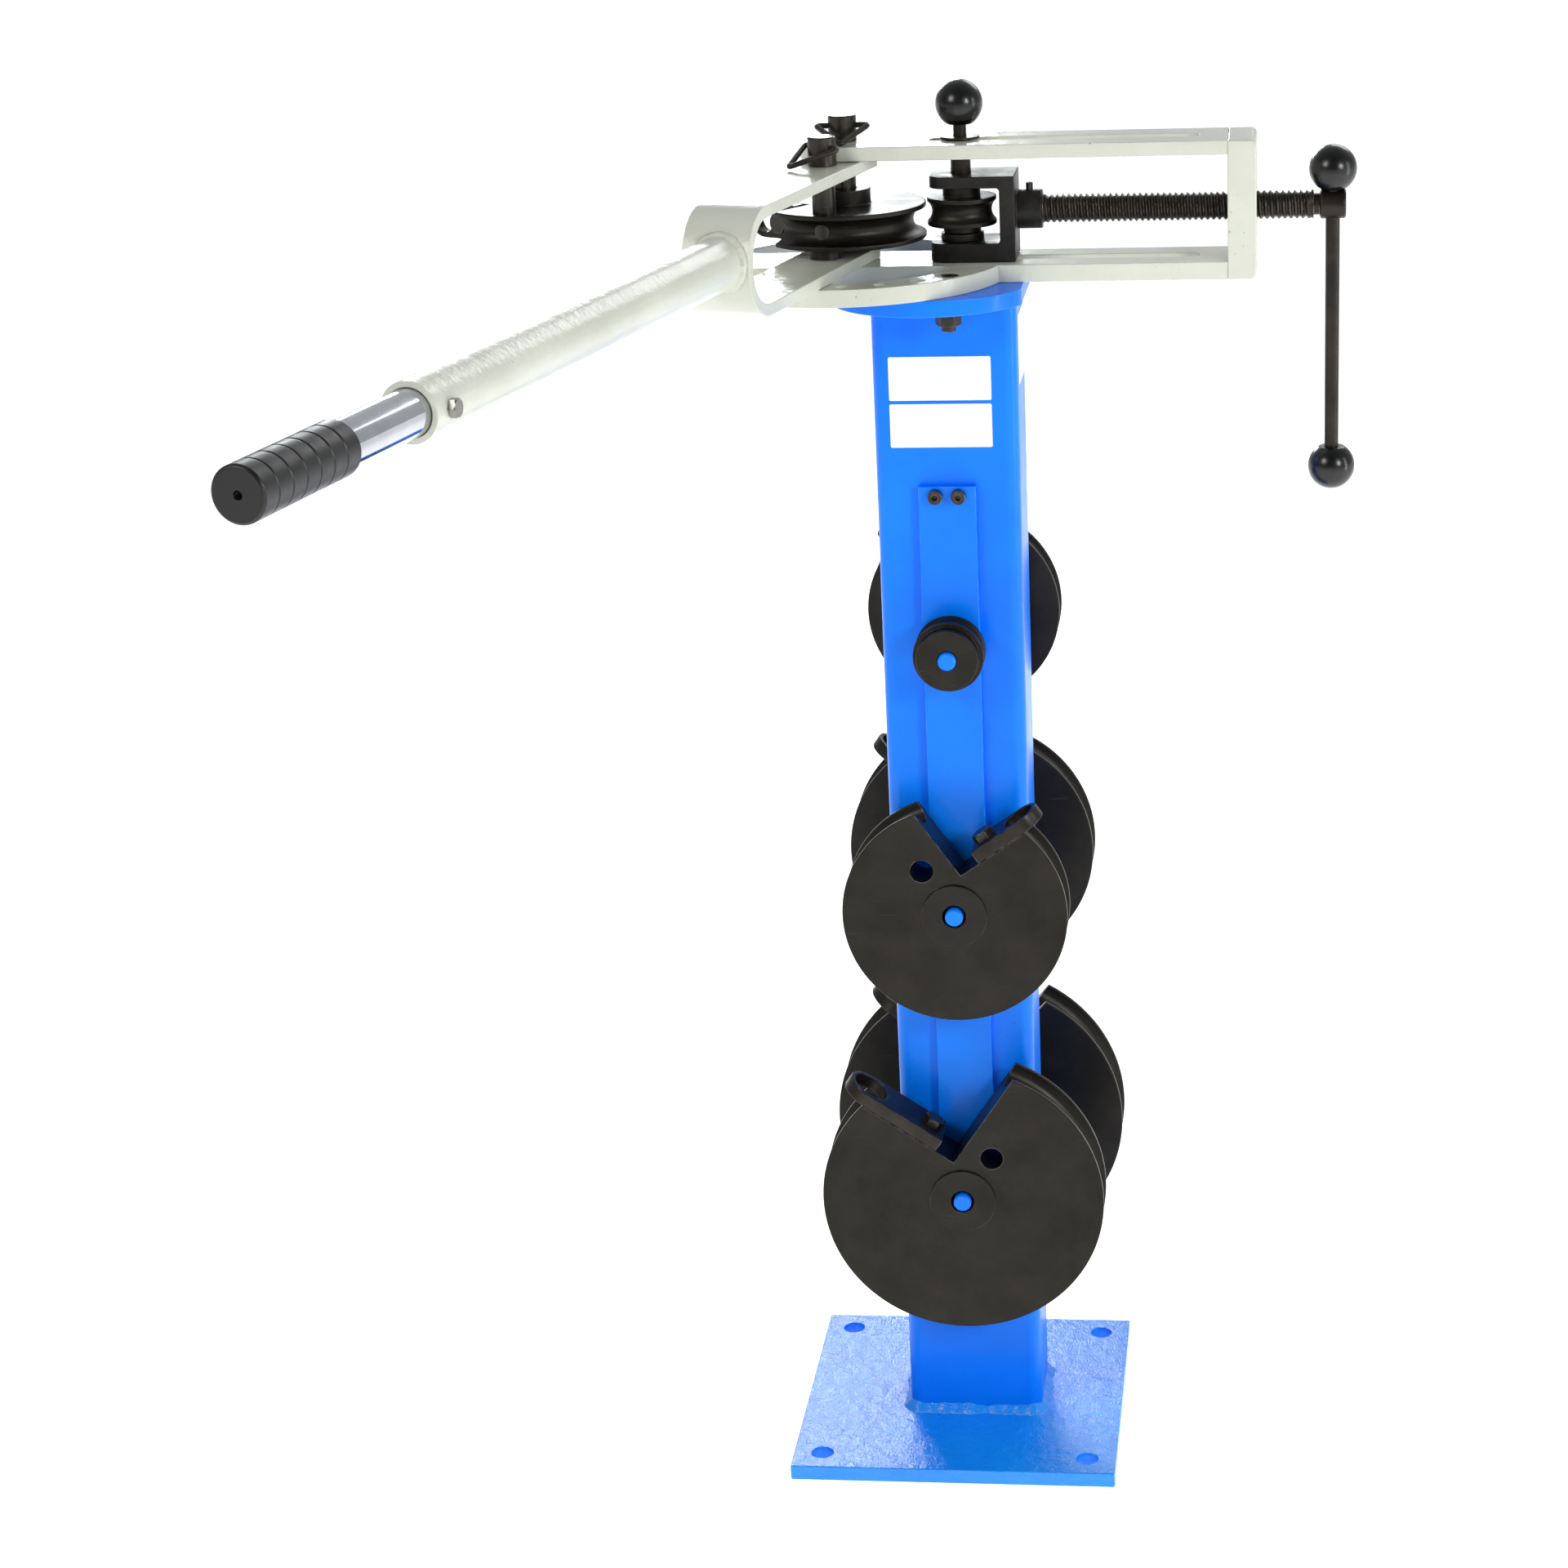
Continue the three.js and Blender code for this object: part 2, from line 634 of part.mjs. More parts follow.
function addYoke(parent) {
  const wall = yokeThickness;
  const bend = yokeBendRadius - wall;
  const half = yokeWidth / 2;
  const end = -yokeTail - overrun;
  const inner = new THREE.Shape();
  inner.absarc(yokeReach - wall - bend, yokeBottom + wall + bend, bend, -quarterTurn, 0);
  inner.absarc(yokeReach - wall - bend, yokeTop - wall - bend, bend, 0, quarterTurn);
  inner.lineTo(end, yokeTop - wall).lineTo(end, yokeBottom + wall);
  const reach = half + overrun;
  const options = { depth: 2 * reach, bevelEnabled: false, curveSegments: holeSides / 2 };
  const hollow = new THREE.ExtrudeGeometry(inner, options);
  hollow.rotateX(quarterTurn).translate(0, reach + yokeShift, 0);
  const plan = new THREE.Shape();
  const corner = yokeTailCorner;
  plan.moveTo(yokeReach + overrun, -half).lineTo(yokeReach + overrun, half);
  plan.absarc(corner - yokeTail, half - corner, corner, quarterTurn, Math.PI);
  plan.absarc(corner - yokeTail, corner - half, corner, Math.PI, Math.PI + quarterTurn);
  const low = yokeBottom - overrun;
  const high = yokeTop + overrun;
  const limits = raised(plan, low, high).translate(0, yokeShift, 0);
  const strap = solid(yokeOutside(0)).intersect(solid(limits));
  const pinHoles = [0, driveDistance].map((x) =>
    rod(pinRadius + fitGap, low, high).translate(x, 0, 0),
  );
  piece("yoke", cut(strap, hollow, ...pinHoles), creamPaint, parent);
}

// A tube along X with open ends.
function levelTube(radius, bore, low, high) {
  return cut(levelRod(radius, low, high), levelRod(bore, low - overrun, high + overrun));
}

function addHandle(parent) {
  const middle = (yokeBottom + yokeTop) / 2 + handleLift;
  const arm = group(parent, 0, 0, middle);
  const start = yokeReach - yokeBendRadius;
  const boltAt = handleTubeEnd - clampBoltInset;
  const cope = yokeOutside(fitGap).translate(0, 0, -middle);
  const boltHole = rod(clampBoltRadius + fitGap, 0, handleTubeRadius + overrun, holeSides);
  boltHole.rotateX(-quarterTurn).translate(boltAt, 0, 0);
  const tube = cut(levelTube(handleTubeRadius, handleBore, start, handleTubeEnd), cope, boltHole);
  piece("handle_tube", tube, creamPaint, arm);

  const inside = extensionRadius + fitGap;
  const headSeat = handleTubeRadius + fitGap;
  const shank = rod(clampBoltRadius, inside, headSeat + weldReach, holeSides);
  const head = raised(hexagon(clampHeadCorner), headSeat, headSeat + clampHeadHeight);
  const bolt = join(head.rotateZ(quarterTurn), shank);
  const boltPiece = piece("clamp_bolt", bolt, zinc, arm);
  boltPiece.rotation.x = -quarterTurn;
  boltPiece.position.x = boltAt;

  const gripEnd = gripStart + gripLength;
  const bore = extensionRadius - extensionWall;
  const tubeEnd = gripEnd - gripEndWall - fitGap;
  const extensionStart = handleTubeEnd - extensionInside;
  const extension = levelTube(extensionRadius, bore, extensionStart, tubeEnd);
  piece("extension_tube", extension, chrome, arm);
  addGrip(arm, gripEnd);
}

// A closed rubber sleeve with V grooves and a small vent in its end.
function addGrip(parent, gripEnd) {
  const inner = extensionRadius + fitGap;
  const pitch = gripLength / (gripGrooves + 1);
  const grooves = Array.from({ length: gripGrooves }, (_, index) => {
    const at = (index + 1) * pitch;
    return [
      [gripRadius, at - gripGrooveWidth / 2],
      [gripRadius - gripGrooveDepth, at],
      [gripRadius, at + gripGrooveWidth / 2],
    ];
  }).flat();
  const edge = 2 * gripGrooveDepth;
  const profile = [
    [inner, 0],
    [gripRadius, 0],
    ...grooves,
    [gripRadius, gripLength - edge],
    [gripRadius - edge, gripLength],
    [gripHoleRadius, gripLength],
    [gripHoleRadius, gripLength - gripEndWall],
    [inner, gripLength - gripEndWall],
    [inner, 0],
  ];
  const sleeve = turned(profile, rodSides).rotateY(quarterTurn);
  piece("grip", sleeve.translate(gripEnd - gripLength, 0, 0), rubber, parent);
}

// The rim profile from bottom to top with a round groove of the given depth.
function groovedRim(radius, low, high, pipe, depth) {
  const middle = (low + high) / 2;
  const centre = radius + pipe - depth;
  const spread = Math.acos((centre - radius) / pipe);
  const arc = Array.from({ length: grooveSteps * 2 + 1 }, (_, step) => {
    const turn = spread * (step / grooveSteps - 1);
    return [centre - pipe * Math.cos(turn), middle + pipe * Math.sin(turn)];
  });
  return [[radius, low], ...arc, [radius, high]];
}

// A former about the Z axis, its lower hub on z = 0.
function addFormer(name, size, setting, parent) {
  const side = setting.hookSide;
  const low = size.hubLow;
  const high = low + size.width;
  const top = high + size.hubHigh;
  const profile = [
    [formerBoreRadius, 0],
    [size.hub, 0],
    [size.hub, low],
    ...groovedRim(size.radius, low, high, size.pipe, size.pipe),
    [size.hub, high],
    [size.hub, top],
    [formerBoreRadius, top],
    [formerBoreRadius, 0],
  ];
  const place = group(parent, 0, 0, 0, radians(setting.turn));
  const faceTurn = side * radians(notchHalfAngle);
  const reach = 2 * size.radius;
  const wedge = new THREE.Shape();
  const edge = onCircle(reach, notchHalfAngle);
  wedge.moveTo(size.notch, 0);
  wedge.lineTo(size.notch + edge.x, -edge.y);
  wedge.lineTo(size.notch + edge.x, edge.y);
  const notch = raised(wedge, low - overrun, high + overrun);
  const drive = onCircle(driveDistance, setting.drive);
  const driveHole = rod(driveHoleRadius, -overrun, top + overrun, rodSides);
  driveHole.translate(drive.x, drive.y, 0);

  // The hook's own frame: X along the notch face, Y into the notch, Z across the former.
  const face = group(place, size.notch, 0, (low + high) / 2, faceTurn);
  const lift = -side * fitGap;
  const boltX = size.hookStart + hookBoltInset;
  const hole = rod(hookBoltRadius + hookBoltPlay, -overrun, hookBoltDepth + overrun, holeSides);
  hole.rotateX(-side * quarterTurn).translate(boltX, 0, 0);
  hole.rotateZ(faceTurn).translate(size.notch, 0, (low + high) / 2);
  const body = cut(turned(profile, formerSides), notch, driveHole, hole);
  piece(name, body, blackOxide, place);

  const corner = size.notch * Math.SQRT1_2;
  const eyeX = Math.sqrt(size.radius ** 2 - corner ** 2) - corner;
  const halfWidth = size.width / 2;
  const outline = new THREE.Shape();
  const soft = hookEdgeRadius;
  outline.absarc(size.hookStart + soft, soft - halfWidth, soft, Math.PI, Math.PI + quarterTurn);
  outline.absarc(eyeX, 0, halfWidth, -quarterTurn, quarterTurn);
  outline.absarc(size.hookStart + soft, halfWidth - soft, soft, quarterTurn, Math.PI);
  const options = { depth: hookThickness, bevelEnabled: false, curveSegments: holeSides / 2 };
  const bar = new THREE.ExtrudeGeometry(outline, options);
  const eye = rod(size.pipe, -overrun, hookThickness + overrun).translate(eyeX, 0, 0);
  const shankRoom = hookBoltRadius + hookBoltPlay;
  const shankHole = rod(shankRoom, -overrun, hookThickness + overrun, holeSides);
  const hook = piece(`${name}_hook`, cut(bar, eye, shankHole.translate(boltX, 0, 0)), blackOxide, face);
  hook.rotation.x = side * quarterTurn;
  hook.position.y = lift;

  const headSeat = hookThickness + fitGap;
  const shank = rod(hookBoltRadius, -hookBoltDepth, headSeat + weldReach, holeSides);
  const head = raised(hexagon(hookBoltCorner), headSeat, headSeat + hookBoltHead);
  const bolt = piece(`${name}_bolt`, join(head, shank), darkSteel, face);
  bolt.rotation.x = side * quarterTurn;
  bolt.position.set(boltX, lift, 0);
}

// The former on the machine, keyed to the handle by the drive pin.
function addMachineFormer(handle) {
  const seat = yokeBottom + yokeThickness + fitGap;
  addFormer("former_on_machine", machineFormer, machineSetting, group(handle, 0, 0, seat));
}

// The C-shaped carriage with the collar that takes the end of the lead screw.
function addCarriage(parent) {
  const bottom = plateTop + fitGap;
  const lowerJaw = bottom + lowerJawThickness;
  const upperJaw = lowerJaw + carriageGap();
  const top = upperJaw + upperJawThickness;
  const half = jawWidth / 2;
  const back = jawLength - jawFront;
  const plan = new THREE.Shape();
  const corner = jawCornerRadius;
  plan.moveTo(back, -half).lineTo(back, half);
  plan.absarc(corner - jawFront, half - corner, corner, quarterTurn, Math.PI);
  plan.absarc(corner - jawFront, corner - half, corner, Math.PI, Math.PI + quarterTurn);
  const inner = roundedRectangle(
    -jawFront - collarLength,
    lowerJaw,
    back - webThickness,
    upperJaw,
    setScrewRadius,
  );
  const mouth = raised(inner, -half - overrun, half + overrun).rotateX(quarterTurn);
  const collarEnd = back + collarLength;
  const collar = levelRod(collarRadius, back - weldReach, collarEnd).translate(0, 0, screwLevel);
  const journalHole = levelRod(
    screwJournalRadius + fitGap,
    back - webThickness - overrun,
    collarEnd + overrun,
  ).translate(0, 0, screwLevel);
  const pinHole = rod(knobPinRadius + fitGap, bottom - overrun, top + overrun);
  const screwAt = back + collarLength / 2;
  const screwTop = screwLevel + collarRadius;
  const screwHole = rod(setScrewRadius + fitGap, screwLevel, screwTop + overrun, holeSides);
  screwHole.translate(screwAt, 0, 0);
  const block = cut(raised(plan, bottom, top), mouth);
  const carriage = cut(join(block, collar), journalHole, pinHole, screwHole);
  piece("carriage", carriage, blackOxide, parent);

  const grooveTop = screwLevel + screwGrooveRadius + fitGap;
  const setScrew = rod(setScrewRadius, grooveTop, screwTop + setScrewHeight, holeSides);
  piece("collar_set_screw", setScrew.translate(screwAt, 0, 0), darkSteel, parent);

  const spacerBottom = lowerJaw + fitGap;
  const bore = knobPinRadius + fitGap;
  const spacerTop = spacerBottom + spacerHeight;
  const spacer = cut(
    rod(spacerRadius, spacerBottom, spacerTop),
    rod(bore, spacerBottom - overrun, spacerTop + overrun),
  );
  piece("roller_spacer", spacer, blackOxide, parent);
  const roller = grooved(rollerRadius, rollerGrooveDepth, rollerHubRadius, rollerHubLow, rollerHubHigh, bore);
  piece("carriage_roller", roller.translate(0, 0, spacerTop + fitGap), blackOxide, parent);
}

// The height between the jaws: the roller with its hubs, the spacer and the air between them.
function carriageGap() {
  return spacerHeight + rollerHubLow + rollerWidth + rollerHubHigh + 3 * fitGap;
}

// A grooved roller on z = 0 with a hub at each end.
function grooved(radius, depth, hubRadius, hubLow, hubHigh, bore) {
  const low = hubLow;
  const high = low + rollerWidth;
  const top = high + hubHigh;
  const profile = [
    [bore, 0],
    [rollerHubRadius, 0],
    [rollerHubRadius, low],
    ...groovedRim(radius, low, high, rollerPipe, depth),
    [hubRadius, high],
    [hubRadius, top],
    [bore, top],
    [bore, 0],
  ];
  return turned(profile, rollerSides);
}

// A ball with a flat and a blind socket on its underside.
function knobBall(socketRadius) {
  const ball = new THREE.SphereGeometry(ballRadius, ballSides, ballRings).rotateX(quarterTurn);
  const below = -ballRadius - overrun;
  const flat = rod(ballRadius, below, -ballSeat, holeSides);
  return cut(ball, flat, rod(socketRadius, below, ballSocketDepth - ballRadius, holeSides));
}

function addKnobPin(parent) {
  const bottom = plateTop - knobPinEntry;
  const washerBottom = barTop + fitGap;
  const washerTop = washerBottom + knobWasherHeight;
  const ballCentre = barTop + knobBallHeight;
  const neckTop = ballCentre - ballRadius + ballSocketDepth - fitGap;
  const profile = [
    [0, bottom],
    [knobPinRadius - pinChamfer, bottom],
    [knobPinRadius, bottom + pinChamfer],
    [knobPinRadius, barTop],
    [knobNeckRadius, barTop],
    [knobNeckRadius, neckTop],
    [0, neckTop],
  ];
  piece("knob_pin", turned(profile, rodSides), blackOxide, parent);
  const washer = cut(
    rod(knobWasherRadius, washerBottom, washerTop),
    rod(knobNeckRadius + fitGap, washerBottom - overrun, washerTop + overrun),
  );
  piece("knob_washer", washer, blackOxide, parent);
  const ball = piece("knob_ball", knobBall(knobNeckRadius + fitGap), glossBlack, parent);
  ball.position.z = ballCentre;
}

// The lead screw: journal in the carriage, thread, neck and a drilled head.
function addLeadScrew(parent) {
  const back = rollerDistance + jawLength - jawFront;
  const journalStart = back - webThickness + fitGap;
  const collarEnd = back + collarLength;
  const grooveAt = back + collarLength / 2;
  const grooveHalf = setScrewRadius + fitGap;
  const threadEnd = postOuter + screwReach;
  const headStart = threadEnd + screwNeckLength;
  const headEnd = headStart + screwHeadLength;
  const profile = [
    [0, journalStart],
    [screwJournalRadius, journalStart],
    [screwJournalRadius, grooveAt - grooveHalf],
    [screwGrooveRadius, grooveAt - grooveHalf],
    [screwGrooveRadius, grooveAt + grooveHalf],
    [screwJournalRadius, grooveAt + grooveHalf],
    [screwJournalRadius, collarEnd + fitGap],
    [screwRadius, collarEnd + fitGap],
    [screwRadius, threadEnd],
    [screwJournalRadius, threadEnd],
    [screwJournalRadius, headStart],
    [screwHeadRadius, headStart],
    [screwHeadRadius, headEnd],
    [0, headEnd],
  ];
  const teeAt = (headStart + headEnd) / 2;
  const reach = screwHeadRadius + overrun;
  const hole = rod(teeBarRadius + fitGap, -reach, reach, holeSides).translate(teeAt, 0, 0);
  const screw = cut(turned(profile, rodSides).rotateY(quarterTurn), hole);
  const place = group(parent, 0, 0, screwLevel);
  piece("lead_screw", screw, blackOxide, place);
  addTeeBar(group(place, teeAt, 0, 0));
}

// The tee bar hangs in the screw's head on its upper ball.
function addTeeBar(parent) {
  const upper = screwHeadRadius + fitGap + ballSeat;
  const lower = upper - teeBallSpan;
  const inset = ballRadius - ballSocketDepth + fitGap;
  piece("tee_bar", rod(teeBarRadius, lower + inset, upper - inset, rodSides / 2), blackOxide, parent);
  const upperBall = piece("tee_ball_upper", knobBall(teeBarRadius + fitGap), glossBlack, parent);
  upperBall.position.z = upper;
  const lowerBall = piece("tee_ball_lower", knobBall(teeBarRadius + fitGap), glossBlack, parent);
  lowerBall.rotation.x = Math.PI;
  lowerBall.position.z = lower;
}

// A strip with its pegs in a frame where X is across, Y up and Z out of the column.
function hangerStrip(loads) {
  const outline = new THREE.Shape();
  const half = stripWidth / 2;
  const bottom = stripTop - stripLength;
  outline.moveTo(-half, bottom).lineTo(half, bottom).lineTo(half, stripTop).lineTo(-half, stripTop);
  const low = fitGap;
  const high = low + stripThickness;
  const pegs = pegHeights.map((height, index) => {
    const end = high + fitGap + loads[index] + pegShow;
    const profile = [
      [0, high - weldReach],
      [pegRadius, high - weldReach],
      [pegRadius, end - pegChamfer],
      [pegRadius - pegChamfer, end],
      [0, end],
    ];
    return turned(profile, holeSides + filletSteps).translate(0, height, 0);
  });
  const screwHoles = [-1, 1].map((side) =>
    rod(capScrewRadius + fitGap, low - overrun, high + overrun, holeSides).translate(
      (side * capScrewSpacing) / 2,
      stripTop - capScrewDrop,
      0,
    ),
  );
  return join(cut(raised(outline, low, high), ...screwHoles), ...pegs);
}

// Two socket head screws through a strip into the column.
function addCapScrews(name, parent) {
  const seat = stripThickness + 2 * fitGap;
  [-1, 1].forEach((side, index) => {
    const shank = rod(capScrewRadius, -columnWall, seat + weldReach, holeSides);
    const head = rod(capScrewHeadRadius, seat, seat + capScrewHeadHeight, holeSides + filletSteps);
    const socketLow = seat + capScrewHeadHeight - capScrewSocketDepth;
    const socket = raised(hexagon(capScrewSocketRadius), socketLow, socketLow + capScrewHeadHeight);
    const screw = piece(`${name}_screw_${index + 1}`, cut(join(head, shank), socket), darkSteel, parent);
    screw.position.set((side * capScrewSpacing) / 2, stripTop - capScrewDrop, 0);
  });
}

const formerLoad = (size) => size.hubLow + size.width + size.hubHigh;
const spareRollerLoad = rollerHubHigh + rollerWidth + spareRollerHubHigh;

// Each column face carries a strip; the front one also holds the spare roller.
function addHangers(parent) {
  const seat = stripThickness + 2 * fitGap;
  const front = group(parent, 0, -columnDepth / 2, 0);
  const frontFace = group(front, 0, 0, 0);
  frontFace.rotation.x = quarterTurn;
  const frontLoads = [spareRollerLoad, formerLoad(formerB), formerLoad(formerD)];
  piece("hanger_front", hangerStrip(frontLoads), bluePaint, frontFace);
  addCapScrews("hanger_front", frontFace);
  const bore = pegRadius + fitGap;
  const roller = grooved(
    spareRollerRadius,
    rollerGrooveDepth,
    spareRollerHubRadius,
    rollerHubHigh,
    spareRollerHubHigh,
    bore,
  );
  const rollerPiece = piece("spare_roller", roller, blackOxide, frontFace);
  rollerPiece.position.set(0, pegHeights[0], seat);
  const frontPeg = (index) => group(frontFace, 0, pegHeights[index], seat);
  addFormer("former_front_upper", formerB, frontUpperSetting, frontPeg(1));
  addFormer("former_front_lower", formerD, frontLowerSetting, frontPeg(2));

  const back = group(parent, 0, columnDepth / 2, 0, Math.PI);
  const backFace = group(back, 0, 0, 0);
  backFace.rotation.x = quarterTurn;
  const backSizes = [formerA, formerC, formerE];
  piece("hanger_back", hangerStrip(backSizes.map(formerLoad)), bluePaint, backFace);
  addCapScrews("hanger_back", backFace);
  const backPeg = (index) => group(backFace, 0, pegHeights[index], seat);
  addFormer("former_back_upper", formerA, backUpperSetting, backPeg(0));
  addFormer("former_back_middle", formerC, backMiddleSetting, backPeg(1));
  addFormer("former_back_lower", formerE, backLowerSetting, backPeg(2));
}

const bender = new THREE.Group();
addBasePlate(bender);
const pedestal = group(bender, columnOffsetX, columnOffsetY, 0);
addColumn(pedestal);
addCapPlate(pedestal);
addFrameBolts(pedestal);
addHangers(pedestal);

const head = group(pedestal, -pivotDistance, 0, headLevel);
addLowerPlate(head);
addUpperBar(head);
addEndPost(head);
const handle = group(head, 0, 0, 0, radians(handleAngle));
addYoke(handle);
addHandle(handle);
addMachineFormer(handle);
addPins(head, handle);
const carriage = group(head, rollerDistance, 0, 0);
addCarriage(carriage);
addKnobPin(carriage);
addLeadScrew(head);

export default bender;
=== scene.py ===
"""A pedestal pipe bender: a blue column stand with a cream frame on it, black formers, screw and carriage.

Lengths in this script are millimetres until a mesh is made, angles are degrees.
Every piece is worked out in a place of its own: X, Y and Z axes and an origin, as a 4 by 4 matrix.
"""

from collections import namedtuple
from math import asin, atan2, cos, pi, radians, sin, sqrt

import bmesh
import bpy
import numpy as np
from mathutils import Matrix, Vector


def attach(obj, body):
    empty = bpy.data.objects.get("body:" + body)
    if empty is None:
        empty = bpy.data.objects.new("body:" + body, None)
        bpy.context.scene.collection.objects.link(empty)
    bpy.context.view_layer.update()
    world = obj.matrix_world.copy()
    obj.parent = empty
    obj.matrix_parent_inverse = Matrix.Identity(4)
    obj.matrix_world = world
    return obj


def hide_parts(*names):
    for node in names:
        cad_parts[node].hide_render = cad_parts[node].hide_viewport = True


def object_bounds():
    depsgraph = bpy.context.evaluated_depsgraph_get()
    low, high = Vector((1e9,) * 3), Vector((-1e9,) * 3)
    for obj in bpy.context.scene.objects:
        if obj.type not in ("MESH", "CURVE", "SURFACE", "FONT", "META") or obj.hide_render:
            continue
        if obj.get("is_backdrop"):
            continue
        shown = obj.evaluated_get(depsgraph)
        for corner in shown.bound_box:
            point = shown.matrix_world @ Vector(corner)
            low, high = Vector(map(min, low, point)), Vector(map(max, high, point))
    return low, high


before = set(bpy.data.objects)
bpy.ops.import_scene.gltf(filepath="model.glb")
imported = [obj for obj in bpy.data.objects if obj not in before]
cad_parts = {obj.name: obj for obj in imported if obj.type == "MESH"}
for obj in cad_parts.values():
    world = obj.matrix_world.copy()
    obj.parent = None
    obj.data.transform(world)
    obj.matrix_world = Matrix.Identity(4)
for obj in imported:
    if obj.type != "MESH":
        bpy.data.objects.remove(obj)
cad_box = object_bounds()

MM = 0.001
FIT = 0.3
ROUND = 96
SMALL_ROUND = 40
EASE_STEPS = 3


# Camera, floor and light
IMAGE_SIZE = 1920
FOCAL_PIXELS = 4248.52
PRINCIPAL_POINT = (1100, 1000)
CAMERA_SPOT = (312.58, -2938.91, 1641.01)
CAMERA_YAW = -6.939
CAMERA_PITCH = 19.413
CAMERA_ROLL = -2.131
SENSOR_WIDTH = 36
FLOOR_REACH = 30000
FLOOR_THICKNESS = 0.5


def place_camera():
    """Looks down by the pitch and along the yaw, then rolls about the line of sight."""
    yaw, pitch, roll = radians(CAMERA_YAW), radians(CAMERA_PITCH), radians(CAMERA_ROLL)
    ahead = Vector((sin(yaw) * cos(pitch), cos(yaw) * cos(pitch), -sin(pitch)))
    level = Vector((cos(yaw), -sin(yaw), 0))
    upright = level.cross(ahead)
    right = cos(roll) * level + sin(roll) * upright
    up = cos(roll) * upright - sin(roll) * level
    turn = Matrix((right, up, -ahead)).transposed().to_4x4()
    data = bpy.data.cameras.new("camera")
    data.sensor_width = SENSOR_WIDTH
    data.lens = FOCAL_PIXELS * SENSOR_WIDTH / IMAGE_SIZE
    data.shift_x = (IMAGE_SIZE / 2 - PRINCIPAL_POINT[0]) / IMAGE_SIZE
    data.shift_y = (PRINCIPAL_POINT[1] - IMAGE_SIZE / 2) / IMAGE_SIZE
    data.clip_end = 50
    camera = bpy.data.objects.new("camera", data)
    camera.matrix_world = Matrix.Translation(Vector(CAMERA_SPOT) * MM) @ turn
    bpy.context.scene.collection.objects.link(camera)
    bpy.context.scene.camera = camera


def area_light(name, spot, target, size, power, tint):
    data = bpy.data.lights.new(name, "AREA")
    data.shape = "RECTANGLE"
    data.size, data.size_y = size
    data.energy = power
    data.color = tint
    light = bpy.data.objects.new(name, data)
    aim = (Vector(target) - Vector(spot)).to_track_quat("-Z", "Y")
    light.matrix_world = Matrix.Translation(Vector(spot)) @ aim.to_matrix().to_4x4()
    bpy.context.scene.collection.objects.link(light)


def light_studio():
    world = bpy.data.worlds.new("studio")
    world.use_nodes = True
    nodes, links = world.node_tree.nodes, world.node_tree.links
    shade = nodes["Background"]
    shade.inputs["Color"].default_value = (0.95, 0.97, 1.0, 1)
    direction = nodes.new("ShaderNodeSeparateXYZ")
    links.new(nodes.new("ShaderNodeTexCoord").outputs["Generated"], direction.inputs["Vector"])
    room = nodes.new("ShaderNodeMapRange")
    room.inputs["From Min"].default_value = -0.6
    room.inputs["From Max"].default_value = 0.8
    room.inputs["To Min"].default_value = 0.14
    room.inputs["To Max"].default_value = 0.6
    links.new(direction.outputs["Y"], room.inputs["Value"])
    links.new(room.outputs["Result"], shade.inputs["Strength"])
    bpy.context.scene.world = world
    bpy.context.scene.view_settings.view_transform = "Standard"
    area_light("key", (-2.0, -2.6, 2.9), (0, 0, 0.8), (1.2, 1.2), 46, (1.0, 0.985, 0.96))
    area_light("fill", (2.5, -2.6, 2.1), (0, 0, 0.7), (0.55, 0.9), 50, (0.95, 0.98, 1.0))
    area_light("rim", (1.0, 2.8, 2.6), (0, 0, 0.9), (1.6, 1.0), 20, (1, 1, 1))
    area_light("back_sweep", (-0.95, 3.4, 1.92), (0, 0, 0.1), (1.35, 0.7), 52, (0.94, 0.99, 1.0))
    area_light("corner_strip", (2.4, -0.4, 1.1), (0, 0, 0.8), (0.12, 1.9), 12, (1, 1, 1))


# Finishes
def colour(red, green, blue):
    """A display colour from 0 to 255 as the renderer's linear red, green, blue and alpha."""
    share = np.array([red, green, blue]) / 255
    linear = np.where(share <= 0.04045, share / 12.92, ((share + 0.055) / 1.055) ** 2.4)
    return (*linear.tolist(), 1)


